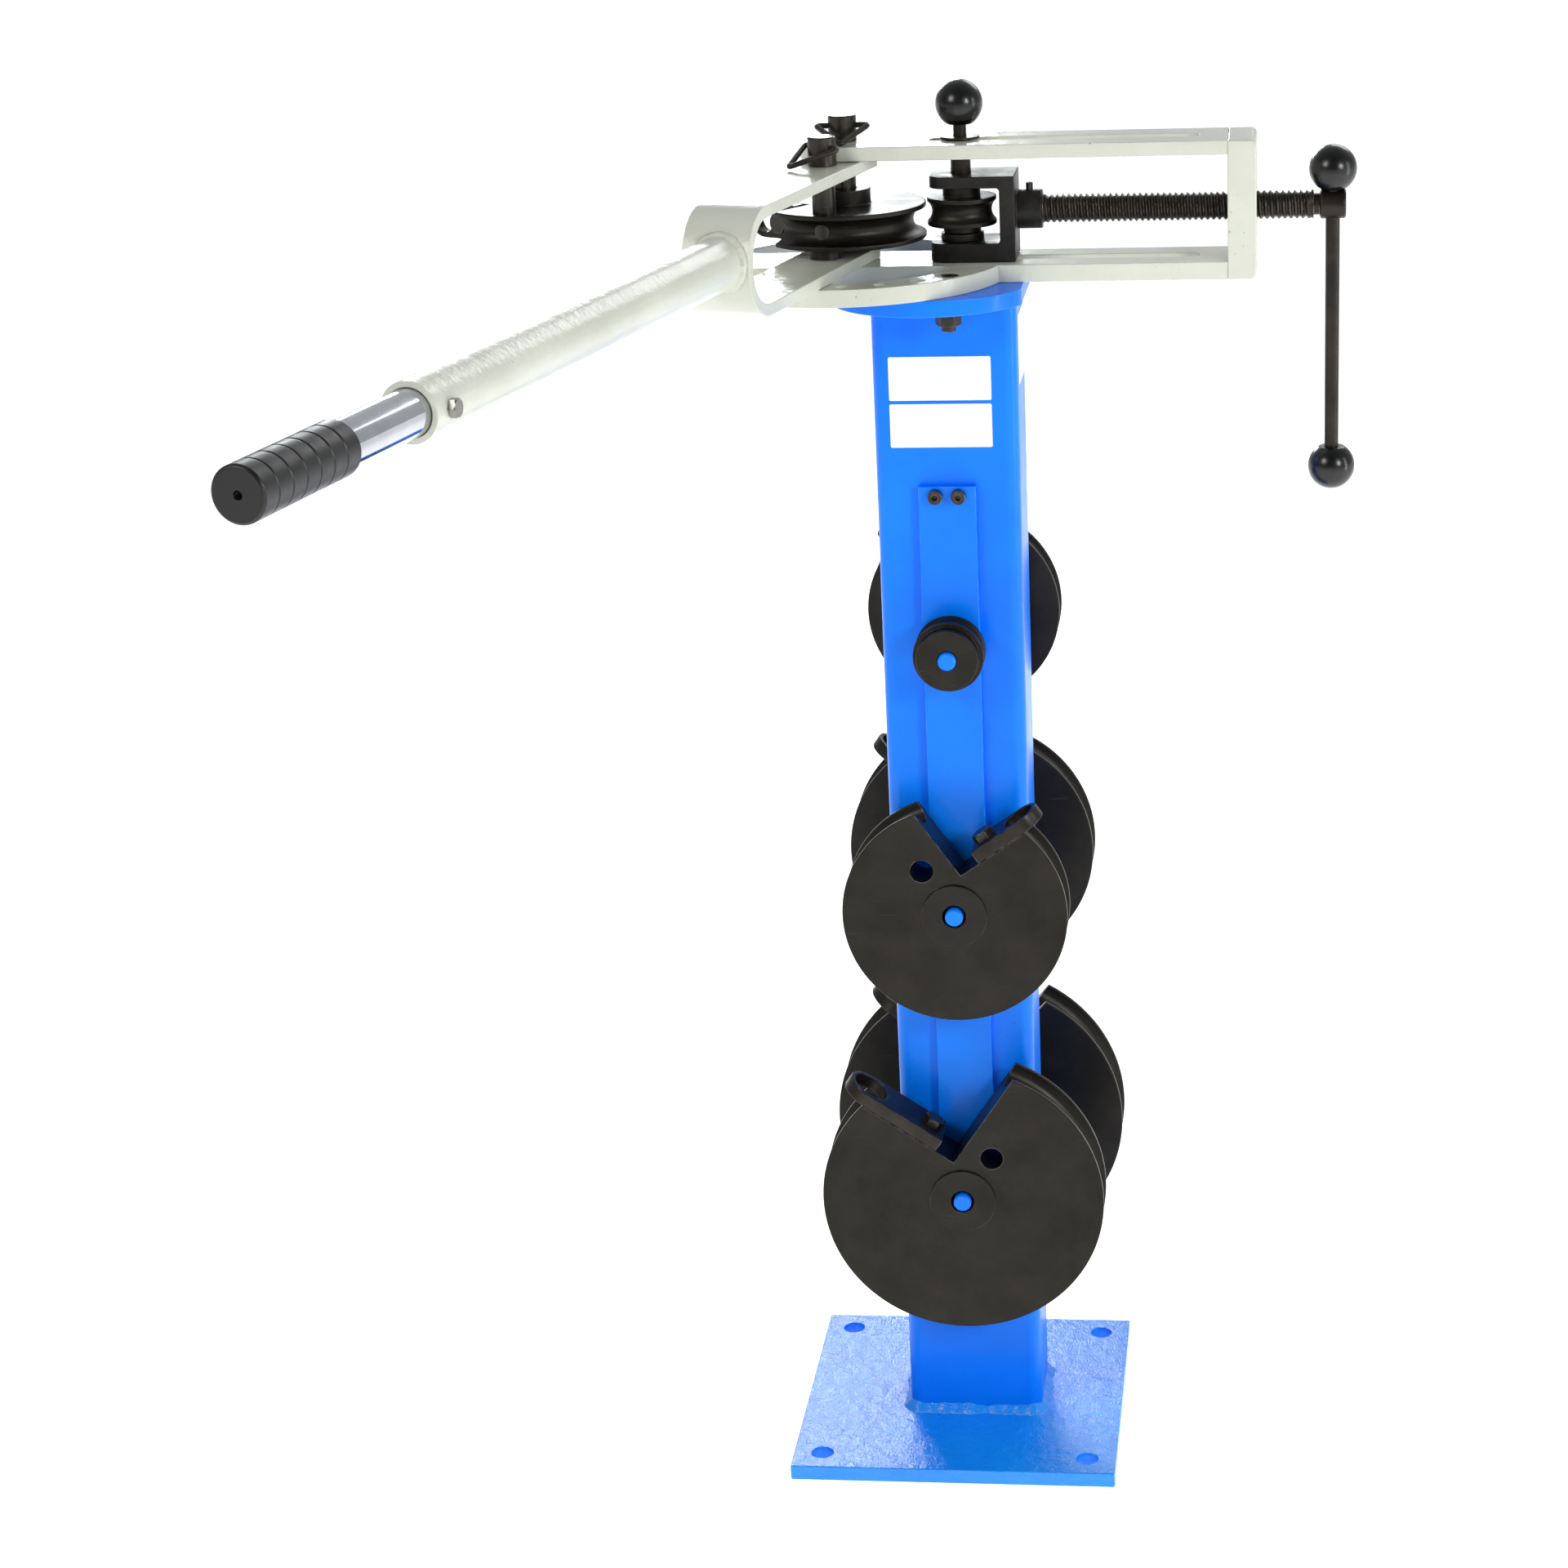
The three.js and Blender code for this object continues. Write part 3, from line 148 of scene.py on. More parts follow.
class Finish:
    """A node material round one Principled shader, with short ways to make its nodes."""

    def __init__(self, name):
        self.material = bpy.data.materials.new(name)
        self.material.use_nodes = True
        self.tree = self.material.node_tree
        self.shader = self.tree.nodes["Principled BSDF"]
        self.coordinates = self.node("ShaderNodeTexCoord").outputs["Object"]

    def node(self, kind, **values):
        made = self.tree.nodes.new(kind)
        for key, value in values.items():
            setattr(made, key, value)
        return made

    def link(self, source, target):
        self.tree.links.new(source, target)

    def set(self, **values):
        for key, value in values.items():
            self.shader.inputs[key.replace("_", " ")].default_value = value

    def noise(self, scale, detail=3.0, roughness=0.55, vector=None):
        made = self.node("ShaderNodeTexNoise")
        made.inputs["Scale"].default_value = scale
        made.inputs["Detail"].default_value = detail
        made.inputs["Roughness"].default_value = roughness
        self.link(vector or self.coordinates, made.inputs["Vector"])
        return made.outputs["Fac"]

    def span(self, value, low, high, out_low=0.0, out_high=1.0):
        """Low and high of a value carried to out_low and out_high, and held there beyond."""
        made = self.node("ShaderNodeMapRange", clamp=True)
        keys = ("From Min", "From Max", "To Min", "To Max")
        for key, number in zip(keys, (low, high, out_low, out_high)):
            made.inputs[key].default_value = number
        self.link(value, made.inputs["Value"])
        return made.outputs["Result"]

    def mix(self, share, first, second):
        made = self.node("ShaderNodeMix", data_type="RGBA")
        self.link(share, made.inputs["Factor"])
        for socket, value in ((made.inputs["A"], first), (made.inputs["B"], second)):
            if isinstance(value, tuple):
                socket.default_value = value
            else:
                self.link(value, socket)
        return made.outputs["Result"]

    def math(self, operation, first, second):
        made = self.node("ShaderNodeMath", operation=operation)
        for socket, value in zip(made.inputs, (first, second)):
            if isinstance(value, (int, float)):
                socket.default_value = value
            else:
                self.link(value, socket)
        return made.outputs["Value"]

    def edge_wear_and_highlight(self, width, low, high):
        """Where the surface turns within a width: the rounded normal leaves the true one there. The mask
        carries edge wear and a painted edge highlight.
        """
        rounded = self.node("ShaderNodeBevel", samples=4)
        rounded.inputs["Radius"].default_value = width
        true = self.node("ShaderNodeNewGeometry")
        lean = self.node("ShaderNodeVectorMath", operation="DOT_PRODUCT")
        self.link(rounded.outputs["Normal"], lean.inputs[0])
        self.link(true.outputs["Normal"], lean.inputs[1])
        return self.span(self.math("SUBTRACT", 1.0, lean.outputs["Value"]), low, high)

    def turning_marks(self, stretch):
        """Lathe marks: highlights stretched across the marks, and fine rings in the returned height."""
        mark = self.node("ShaderNodeAttribute", attribute_name="turning")
        turn = self.node(
            "ShaderNodeVectorTransform", vector_type="VECTOR", convert_from="OBJECT", convert_to="WORLD"
        )
        sure = self.node("ShaderNodeVectorMath", operation="ADD")
        sure.inputs[1].default_value = (0.002, 0.003, 0.001)
        self.link(mark.outputs["Vector"], turn.inputs["Vector"])
        self.link(turn.outputs["Vector"], sure.inputs[0])
        self.link(sure.outputs["Vector"], self.shader.inputs["Tangent"])
        self.set(Anisotropic=stretch)
        ring = self.node("ShaderNodeAttribute", attribute_name="ring")
        rings = self.node("ShaderNodeTexNoise", noise_dimensions="1D")
        rings.inputs["Scale"].default_value = 1.3
        rings.inputs["Detail"].default_value = 3
        self.link(ring.outputs["Fac"], rings.inputs["W"])
        return rings.outputs["Fac"]

    def bump(self, height, strength, distance):
        made = self.node("ShaderNodeBump")
        made.inputs["Strength"].default_value = strength
        made.inputs["Distance"].default_value = distance
        self.link(height, made.inputs["Height"])
        self.link(made.outputs["Normal"], self.shader.inputs["Normal"])
        self.link(made.outputs["Normal"], self.shader.inputs["Coat Normal"])

    def cover(self, source):
        """Gives the surface its colour."""
        self.link(source, self.shader.inputs["Base Color"])

    def smear(self, scale, detail, gloss):
        """Lets the roughness drift between the two values of a gloss."""
        self.link(self.span(self.noise(scale, detail), 0.3, 0.7, *gloss), self.shader.inputs["Roughness"])


def coat_finish(name, light, dark, worn_and_highlight, soil, gloss, peel, coat):
    """Stove enamel: a slow drift of shade, an orange-peel skin of a scale and a strength, edges in the
    worn colour, which is rubbed wear and on the blue paints also a paler painted highlight, and small soiled
    specks."""
    made = Finish(name)
    drift = made.span(made.noise(9, 4), 0.35, 0.65)
    # Edge mask: rubbed wear, and on the blue paints a paler painted highlight.
    edge = made.math("MULTIPLY", made.edge_wear_and_highlight(0.0016, 0.02, 0.3), made.span(made.noise(70, 4), 0.4, 0.62))
    dots, patches = made.span(made.noise(260, 2), 0.7, 0.76), made.span(made.noise(14, 2), 0.5, 0.7)
    paint = made.mix(made.math("MULTIPLY", dots, patches), made.mix(drift, dark, light), soil)
    made.cover(made.mix(edge, paint, worn_and_highlight))
    made.smear(35, 3, gloss)
    waves = made.math("MULTIPLY", made.noise(90, 2), 2.5)
    made.bump(made.math("ADD", made.noise(peel[0], 2, 0.4), waves), peel[1], 0.0006)
    made.set(Coat_Weight=coat, Coat_Roughness=0.1, Specular_IOR_Level=0.18)
    return made.material


def oxide_finish(name, dark, light, bright, gloss, grain, turned_marks=False):
    """Blackened steel: faint brown clouds, scuffs, a grain of a scale and a strength, and edges painted
    bright metal, partly as wear and partly as a painted highlight."""
    made = Finish(name)
    cloud = made.span(made.noise(28, 5, 0.6), 0.36, 0.66)
    patches = made.span(made.noise(120, 4), 0.36, 0.6)
    # Edges in the bright colour: partly worn metal, partly a painted highlight along the edges.
    edge = made.math("MULTIPLY", made.edge_wear_and_highlight(0.0012, 0.03, 0.28), patches)
    long = made.node("ShaderNodeMapping")
    long.inputs["Rotation"].default_value = (0.4, 0.9, 0.2)
    long.inputs["Scale"].default_value = (9, 9, 160)
    made.link(made.coordinates, long.inputs["Vector"])
    streaks = made.span(made.noise(3, 3, 0.5, long.outputs["Vector"]), 0.66, 0.72)
    scuffs = made.math("MULTIPLY", streaks, made.span(made.noise(17, 2), 0.56, 0.66))
    steel = made.mix(made.math("MULTIPLY", scuffs, 0.08), made.mix(cloud, dark, light), bright)
    made.cover(made.mix(edge, steel, bright))
    made.smear(60, 4, gloss)
    height = made.noise(grain[0], 4, 0.6)
    if turned_marks:
        height = made.math("ADD", made.math("MULTIPLY", height, 0.5), made.turning_marks(0.6))
    made.bump(height, grain[1], 0.0004)
    made.set(Metallic=0.72)
    return made.material


def metal_finish(name, light, dark, gloss):
    """Bare plated metal with soft smears of polish."""
    made = Finish(name)
    made.cover(made.mix(made.span(made.noise(40, 4), 0.35, 0.65), dark, light))
    made.smear(90, 4, gloss)
    made.bump(made.noise(900, 2), 0.02, 0.0002)
    made.set(Metallic=1.0)
    return made.material


def moulded_finish(name, light, dark, gloss, coat, grain):
    """Moulded plastic or rubber, its skin a grain of a scale and a strength."""
    made = Finish(name)
    made.cover(made.mix(made.span(made.noise(45, 4), 0.35, 0.65), dark, light))
    made.smear(80, 3, gloss)
    made.bump(made.noise(grain[0], 2), grain[1], 0.0003)
    made.set(Coat_Weight=coat, Coat_Roughness=0.05)
    return made.material


blue_enamel = coat_finish(
    "blue_enamel",
    light=colour(0, 128, 255),
    dark=colour(0, 116, 246),
    # Paler edge blue: rubbed wear and a painted highlight on the corners.
    worn_and_highlight=colour(110, 170, 240),
    soil=colour(10, 60, 150),
    gloss=(0.3, 0.4),
    peel=(420, 0.12),
    coat=0.1,
)
# Base plate paint: the hammered skin is its own, but its paler, greener blue than the column's is painted
# light for the strong light on the plate's top.
hammered_blue_with_painted_light = coat_finish(
    "hammered_blue_with_painted_light",
    light=colour(20, 150, 255),
    dark=colour(8, 138, 250),
    # Paler edge blue: rubbed wear and a painted highlight on the edges.
    worn_and_highlight=colour(120, 180, 245),
    soil=colour(20, 80, 170),
    gloss=(0.26, 0.36),
    peel=(640, 1.0),
    coat=0.8,
)
cream_enamel = coat_finish(
    "cream_enamel",
    light=colour(208, 210, 197),
    dark=colour(197, 199, 185),
    worn_and_highlight=colour(160, 156, 142),
    soil=colour(120, 105, 80),
    gloss=(0.28, 0.38),
    peel=(330, 0.34),
    coat=0.35,
)
# The third colour of each blackened finish is its bright edge: worn metal and a painted edge highlight.
black_oxide = oxide_finish(
    "black_oxide", colour(38, 35, 32), colour(54, 49, 44), colour(150, 145, 138), (0.3, 0.44), (650, 0.18)
)
turned_oxide = oxide_finish(
    "turned_oxide",
    colour(33, 30, 26),
    colour(41, 38, 33),
    colour(150, 145, 138),
    (0.34, 0.42),
    (700, 0.12),
    turned_marks=True,
)
cast_oxide = oxide_finish(
    "cast_oxide", colour(28, 27, 26), colour(46, 44, 41), colour(150, 146, 140), (0.34, 0.55), (260, 0.6)
)
dark_steel = oxide_finish(
    "dark_steel", colour(46, 43, 40), colour(70, 66, 60), colour(165, 160, 150), (0.26, 0.42), (800, 0.1)
)
gloss_black = moulded_finish(
    "gloss_black", colour(11, 11, 11), colour(7, 7, 8), (0.23, 0.3), 0.0, (60, 0.02)
)
chrome = metal_finish("chrome", colour(196, 198, 202), colour(186, 188, 193), (0.09, 0.13))
zinc = metal_finish("zinc", colour(140, 139, 134), colour(112, 112, 108), (0.26, 0.4))
grip_rubber = moulded_finish(
    "grip_rubber", colour(15, 14, 14), colour(9, 9, 9), (0.34, 0.46), 0.0, (500, 0.12)
)
label_film = moulded_finish(
    "label_film", colour(250, 250, 250), colour(243, 244, 245), (0.2, 0.3), 0.3, (200, 0.03)
)


# Shapes
def place(origin, x_axis=(1, 0, 0), z_axis=(0, 0, 1)):
    """The 4 by 4 matrix whose columns are the X axis, Z cross X, the Z axis and the origin."""
    x, z = Vector(x_axis).normalized(), Vector(z_axis).normalized()
    made = np.eye(4)
    made[:3] = np.column_stack([x, z.cross(x), z, origin])
    return made


def turned_place(parent, angle=0, x=0, y=0, z=0):
    """A place moved to x, y, z in its parent and turned about the parent's Z axis."""
    c, s = cos(radians(angle)), sin(radians(angle))
    return parent @ np.array([[c, -s, 0, x], [s, c, 0, y], [0, 0, 1, z], [0, 0, 0, 1]])


def tipped_place(parent, angle):
    """A place turned about its own X axis."""
    c, s = cos(radians(angle)), sin(radians(angle))
    return parent @ np.array([[1, 0, 0, 0], [0, c, -s, 0], [0, s, c, 0], [0, 0, 0, 1]])


def arc(centre, radius, start, end, steps):
    """Points on a circle about a centre, from one angle to another."""
    turn = np.radians(np.linspace(start, end, steps + 1))
    return np.column_stack([centre[0] + radius * np.cos(turn), centre[1] + radius * np.sin(turn)])


def circle(centre, radius, steps=SMALL_ROUND):
    return arc(centre, radius, 0, 360, steps)[:-1]


def eased(points, radius, closed=False, least=25):
    """A line with its corners rounded: from a point before each corner to one after it runs the
    curve (1-s)^2 a + 2 s (1-s) corner + s^2 b. Corners that turn less than the least angle stay."""
    points = np.asarray(points, float)
    before, after = np.roll(points, 1, axis=0), np.roll(points, -1, axis=0)
    back, ahead = before - points, after - points
    reach_back, reach_ahead = np.linalg.norm(back, axis=1), np.linalg.norm(ahead, axis=1)
    back /= np.maximum(reach_back, 1e-9)[:, None]
    ahead /= np.maximum(reach_ahead, 1e-9)[:, None]
    turn = pi - np.arccos(np.clip((back * ahead).sum(1), -1, 1))
    reach = np.minimum(radius, 0.45 * np.minimum(reach_back, reach_ahead))
    share = np.linspace(0, 1, EASE_STEPS + 1)[:, None]
    rounded = []
    for index, corner in enumerate(points):
        fixed = turn[index] < radians(least) or (not closed and index in (0, len(points) - 1))
        if fixed:
            rounded.append(corner[None])
            continue
        a, b = corner + back[index] * reach[index], corner + ahead[index] * reach[index]
        rounded.append((1 - share) ** 2 * a + 2 * share * (1 - share) * corner + share**2 * b)
    return np.concatenate(rounded)


def quads(rows, columns, wrap_rows, wrap_columns):
    """The four-cornered faces between neighbouring rows and columns of a grid of points."""
    row, column = np.meshgrid(
        np.arange(rows - (not wrap_rows)), np.arange(columns - (not wrap_columns)), indexing="ij"
    )
    next_row, next_column = (row + 1) % rows, (column + 1) % columns
    corners = [
        row * columns + column,
        row * columns + next_column,
        next_row * columns + next_column,
        next_row * columns + column,
    ]
    return np.stack(corners, axis=-1).reshape(-1, 4).tolist()


def skin(rings, closed=False):
    """A surface through rings of points; its ends are flat faces unless the last ring meets the first."""
    rings = np.asarray(rings, float)
    count, around = rings.shape[:2]
    faces = quads(count, around, closed, True)
    if not closed:
        faces.append(list(range(around))[::-1])
        faces.append(list(range((count - 1) * around, count * around)))
    return rings.reshape(-1, 3), faces


def turned(profile, steps=ROUND, ease=0.0, closed=False, corners=None):
    """Radius and height pairs turned about Z: x = r cos t, y = r sin t, z = h.
    corners maps a row to a polygon: there r is r cos(pi/n) / cos(t mod 2 pi/n - pi/n)."""
    profile = eased(profile, ease, closed) if ease else np.asarray(profile, float)
    turn = np.linspace(0, 2 * pi, steps, endpoint=False)
    radius = np.repeat(profile[:, :1], steps, axis=1)
    if corners is not None:
        corners = np.asarray(corners)
        flats = np.where(corners > 0, corners, 6)[:, None]
        part = 2 * pi / flats
        polygon = radius * np.cos(part / 2) / np.cos(turn[None] % part - part / 2)
        radius = np.where(corners[:, None] > 0, polygon, radius)
    height = np.repeat(profile[:, 1:], steps, axis=1)
    return skin(np.stack([radius * np.cos(turn), radius * np.sin(turn), height], axis=-1), closed)


def raised(outlines, low, high, edge):
    """A flat outline with holes, raised from low to high, its rim rounded by a quarter circle."""
    curve = bpy.data.curves.new("outline", "CURVE")
    curve.dimensions = "2D"
    curve.fill_mode = "BOTH"
    curve.extrude = (high - low) / 2 - edge
    curve.bevel_depth = edge
    curve.bevel_resolution = 1
    curve.offset = -edge
    for outline in outlines:
        spline = curve.splines.new("POLY")
        spline.points.add(len(outline) - 1)
        rest = np.tile([0.0, 1.0], (len(outline), 1))
        spline.points.foreach_set("co", np.hstack([outline, rest]).ravel())
        spline.use_cyclic_u = True
    holder = bpy.data.objects.new("outline", curve)
    mesh = bpy.data.meshes.new_from_object(holder)
    points = np.empty(len(mesh.vertices) * 3)
    mesh.vertices.foreach_get("co", points)
    points = points.reshape(-1, 3) + (0, 0, (low + high) / 2)
    faces = [list(face.vertices) for face in mesh.polygons]
    bpy.data.objects.remove(holder)
    bpy.data.curves.remove(curve)
    bpy.data.meshes.remove(mesh)
    return points, faces


def swept(path, section):
    """A section carried along a path: each path point adds section x times the side direction
    and section y times the up direction, both square to the path there."""
    path = np.asarray(path, float)
    along = np.gradient(path, axis=0)
    along /= np.linalg.norm(along, axis=1)[:, None]
    up = np.array([0, 0, 1.0])
    side = np.cross(along, up)
    side /= np.linalg.norm(side, axis=1)[:, None]
    upright = np.cross(side, along)
    section = np.asarray(section, float)
    rings = path[:, None] + section[None, :, :1] * side[:, None] + section[None, :, 1:] * upright[:, None]
    return skin(rings)


def moved(shape, x=0, y=0, z=0):
    return shape[0] + np.array([x, y, z]), shape[1]


def carried(shape, at):
    """A shape's points carried by a place."""
    points, faces = shape
    return points @ at[:3, :3].T + at[:3, 3], faces


# From shapes to pieces
def finished(name, mesh, finish, body, slot_name, nodes, soften=0.0):
    """Links a mesh as a piece: merged, faces outward, smooth but for its sharp edges."""
    sheet = bmesh.new()
    sheet.from_mesh(mesh)
    bmesh.ops.remove_doubles(sheet, verts=sheet.verts, dist=2e-6)
    bmesh.ops.recalc_face_normals(sheet, faces=sheet.faces)
    sheet.to_mesh(mesh)
    sheet.free()
    mesh.materials.clear()
    mesh.materials.append(finish)
    mesh.shade_smooth()
    mesh.set_sharp_from_angle(angle=radians(38))
    made = bpy.data.objects.new(name, mesh)
    bpy.context.scene.collection.objects.link(made)
    if soften:
        ease = made.modifiers.new("edges", "BEVEL")
        ease.width = soften * MM
        ease.segments = 2
        ease.limit_method = "ANGLE"
        ease.angle_limit = radians(40)
        ease.harden_normals = True
    weighted = made.modifiers.new("normals", "WEIGHTED_NORMAL")
    weighted.keep_sharp = True
    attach(made, body)
    if nodes:
        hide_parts(*nodes)
    return made


def piece(name, shapes, finish, body, slot_name, nodes=(), at=None, soften=0.0):
    """One piece from shapes in millimetres, carried to its place and put in metres. Each point also
    carries the direction (-y, x, 0) / r in which it was turned, and its ring r + z."""
    at = np.eye(4) if at is None else at
    points, faces, count = [], [], 0
    for shape in shapes:
        points.append(shape[0])
        faces.extend([[index + count for index in face] for face in shape[1]])
        count += len(shape[0])
    points = np.concatenate(points)
    mesh = bpy.data.meshes.new(name)
    mesh.from_pydata((carried((points, faces), at)[0] * MM).tolist(), [], faces)
    radius = np.maximum(np.hypot(points[:, 0], points[:, 1]), 0.001)
    level = np.zeros(len(points))
    turning = np.column_stack([-points[:, 1] / radius, points[:, 0] / radius, level]) @ at[:3, :3].T
    mesh.attributes.new("turning", "FLOAT_VECTOR", "POINT").data.foreach_set("vector", turning.ravel())
    mesh.attributes.new("ring", "FLOAT", "POINT").data.foreach_set("value", radius + points[:, 2])
    return finished(name, mesh, finish, body, slot_name, nodes, soften)


def softened(node, finish, body, slot_name, width):
    """A CAD node's own form with its flat faces made whole and its edges rounded."""
    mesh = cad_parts[node].data.copy()
    sheet = bmesh.new()
    sheet.from_mesh(mesh)
    bmesh.ops.remove_doubles(sheet, verts=sheet.verts, dist=2e-6)
    bmesh.ops.dissolve_limit(
        sheet, angle_limit=radians(0.3), verts=sheet.verts, edges=sheet.edges, use_dissolve_boundaries=False
    )
    sheet.to_mesh(mesh)
    sheet.free()
    return finished(node + "_soft", mesh, finish, body, slot_name, [node], width)


# Sizes shared by several pieces
PIN_ROUND = 64
HEX_ROUND = 48
SOFT_EDGE = 1.2
PLATE_EDGE = 1
OVERRUN = 3
WELD_STEPS = 420

# Sizes of the stand
BASE_SIZE = 300
BASE_THICKNESS = 14
BASE_HOLE = 10
BASE_INSET = 27
BASE_CORNER = 2
COLUMN_CENTRE = (13, 7)
COLUMN_SIZE = (125, 90)
COLUMN_CORNER = 12
COLUMN_WALL = 5
COLUMN_TOP = 1074
FOOT_WELD = 7
CAP_WELD = 4
CAP_END_RADIUS = 87.5
CAP_END_APART = 27
CAP_END_BACK = 10
CAP_FLAT = 69
HEAD_LEVEL = 1088
FRAME_BOLT_ANGLES = (-40.4, 40.4)
FRAME_BOLT = 6
FRAME_BOLT_END = 18
FRAME_BOLT_HEAD = 9.5
FRAME_BOLT_SINK = 4
FRAME_SOCKET = 5
FRAME_SOCKET_DEPTH = 3.8
NUT_RADIUS = 11
NUT_CHAMFER = 1.2
NUT_DEPTH = 13
NUT_GAP = 0.2

# Sizes of the frame
PIVOT_DISTANCE = 85
BAR_HALF = 37
PLATE_TOP = 15
BAR_BOTTOM = 104
BAR_TOP = 116
POST_DISTANCE = 326
POST_THICKNESS = 24
RING_OUTER = 138
RING_INNER = 108
WINDOW_TIP = 14
INDEX_HOLE = 6
INDEX_START = -55
INDEX_STEP = -15
INDEX_COUNT = 6
SLOT = (74, 302)
SLOT_WIDTH = 17.9

# Sizes of the pins and bails
PIN_RADIUS = 10
PIN_HEAD = 12
PIN_CHAMFER = 1
MAIN_HEAD_HEIGHT = 22
DRIVE_HEAD_HEIGHT = 24
DRIVE_DISTANCE = 50
BOSS_RADIUS = 14
BOSS_HEIGHT = 8
BOSS_PLAY = 0.2
BAIL_DROP = 9
BAIL_WIRE = 2.4
BAIL_LENGTH = 38
BAIL_HALF = 22.5
BAIL_CORNER = 4
BAIL_TUCK = 8
MAIN_BAIL_TURN = 4
DRIVE_BAIL_TURN = 58.4

# Sizes of the handle
HANDLE_ANGLE = 256.6
YOKE_HALF = 28.5
YOKE_SHIFT = -2.5
YOKE_THICKNESS = 10
YOKE_BEND = 43
YOKE_REACH = 285
YOKE_TAIL = 20
YOKE_CORNER = 10
YOKE_BOTTOM = 15.3
YOKE_TOP = 103.3
HANDLE_RADIUS = 21.2
HANDLE_BORE = 16.8
HANDLE_LEVEL = 63.3
HANDLE_END = 810
HANDLE_WELD = 4
EXTENSION_RADIUS = 16.5
EXTENSION_BORE = 14
EXTENSION_START = 560
CLAMP_AT = 790
CLAMP_BOLT = 4
CLAMP_HEAD = 7
CLAMP_HEAD_HEIGHT = 5
GRIP_START = 910
GRIP_END = 1030
GRIP_RADIUS = 18.9
GRIP_GROOVES = 6
GRIP_GROOVE_DEPTH = 0.9
GRIP_CAP = 6
GRIP_HOLE = 3
GRIP_EDGE = 1.6

# Sizes of the carriage, its knob and the lead screw
CARRIAGE_AT = 100
COLLAR_RADIUS = 16.5
SET_SCREW = 3
SET_SCREW_AT = 58
SET_SCREW_ROOT = 7.3
SET_SCREW_RISE = 6
SET_SCREW_SOCKET = 1.4
SPACER_RADIUS = 18.3
SPACER_BOTTOM = 31.6
SPACER_TOP = 37.6
ROLLER_WIDTH = 24
ROLLER_PIPE = 11
ROLLER_GROOVE = 4
ROLLER_FOOT = 16
KNOB_PIN = 8.5
KNOB_PIN_DEPTH = 8
KNOB_STEM = 5.5
KNOB_RISE = 30
KNOB_WASHER = 16.5
KNOB_WASHER_THICKNESS = 2.5
SCREW_LEVEL = 56
SCREW_RADIUS = 12
SCREW_PITCH = 5
THREAD_DEPTH = 1.9
THREAD_START = 22.3
JOURNAL = 9
JOURNAL_ENDS = (-12.7, 23)
JOURNAL_NECK = 7
JOURNAL_NECK_ENDS = (7.7, 14.3)
SCREW_BACK = 47
SCREW_OUT = 47.5
SCREW_HEAD = 12.3
SCREW_HEAD_GAP = 5
SCREW_HEAD_LENGTH = 22
TEE_RADIUS = 6
TEE_LENGTH = 255
BALL_RADIUS = 20
BALL_SEAT = 17
BALL_ROD_END = 8.3

# Sizes of the hangers and the formers
PEG_HEIGHTS = (772, 538.5, 263.5)
PEG_RADIUS = 8
PEG_ROOT = 6
PEG_SPARE = 4
PEG_CHAMFER = 1.5
STRIP_HALF = 25
STRIP_ENDS = (200, 915)
STRIP_THICKNESS = 8
STRIP_EDGE = 0.8
STRIP_FACE = STRIP_THICKNESS + 2 * FIT
CAP_SCREW = 4
CAP_SCREW_AT = 907
CAP_SCREW_ASIDE = 10
CAP_SCREW_DEPTH = 5
CAP_SCREW_HEAD = 6.3
CAP_SCREW_HEIGHT = 7
CAP_SCREW_CHAMFER = 0.7
CAP_SOCKET = 3.2
CAP_SOCKET_DEPTH = 4
FORMER_STEPS = 161
FORMER_EDGE = 0.8
FORMER_FACE = 6
HUB_ROOT = 2
MACHINE_TURN = -67
HOOK_THICKNESS = 12
HOOK_BOLT = 5
HOOK_BOLT_AT = 14
HOOK_BOLT_DEPTH = 14
HOOK_BOLT_HEAD = 10
HOOK_BOLT_HEIGHT = 7
HOOK_BOLT_CHAMFER = 1.4

HEAD = place((COLUMN_CENTRE[0] - PIVOT_DISTANCE, COLUMN_CENTRE[1], HEAD_LEVEL))
PEDESTAL = place((*COLUMN_CENTRE, 0))
HANDLE_PLACE = turned_place(HEAD, HANDLE_ANGLE)
CARRIAGE = turned_place(HEAD, 0, CARRIAGE_AT)
FRONT_FACE = place((COLUMN_CENTRE[0], COLUMN_CENTRE[1] - COLUMN_SIZE[1] / 2, 0), (1, 0, 0), (0, -1, 0))
BACK_FACE = place((COLUMN_CENTRE[0], COLUMN_CENTRE[1] + COLUMN_SIZE[1] / 2, 0), (-1, 0, 0), (0, 1, 0))


def rounded_rectangle(half_x, half_y, radius, steps=8):
    """A rectangle about the origin with its corners as quarter circles."""
    x, y = half_x - radius, half_y - radius
    parts = [arc((x, -y), radius, -90, 0, steps), arc((x, y), radius, 0, 90, steps)]
    parts += [arc((-x, y), radius, 90, 180, steps), arc((-x, -y), radius, 180, 270, steps)]
    return np.concatenate(parts)


def slot_outline(start, end, width):
    """A slot along X with round ends."""
    radius = width / 2
    ends = [arc((end - radius, 0), radius, -90, 90, 16), arc((start + radius, 0), radius, 90, 270, 16)]
    return np.concatenate(ends)


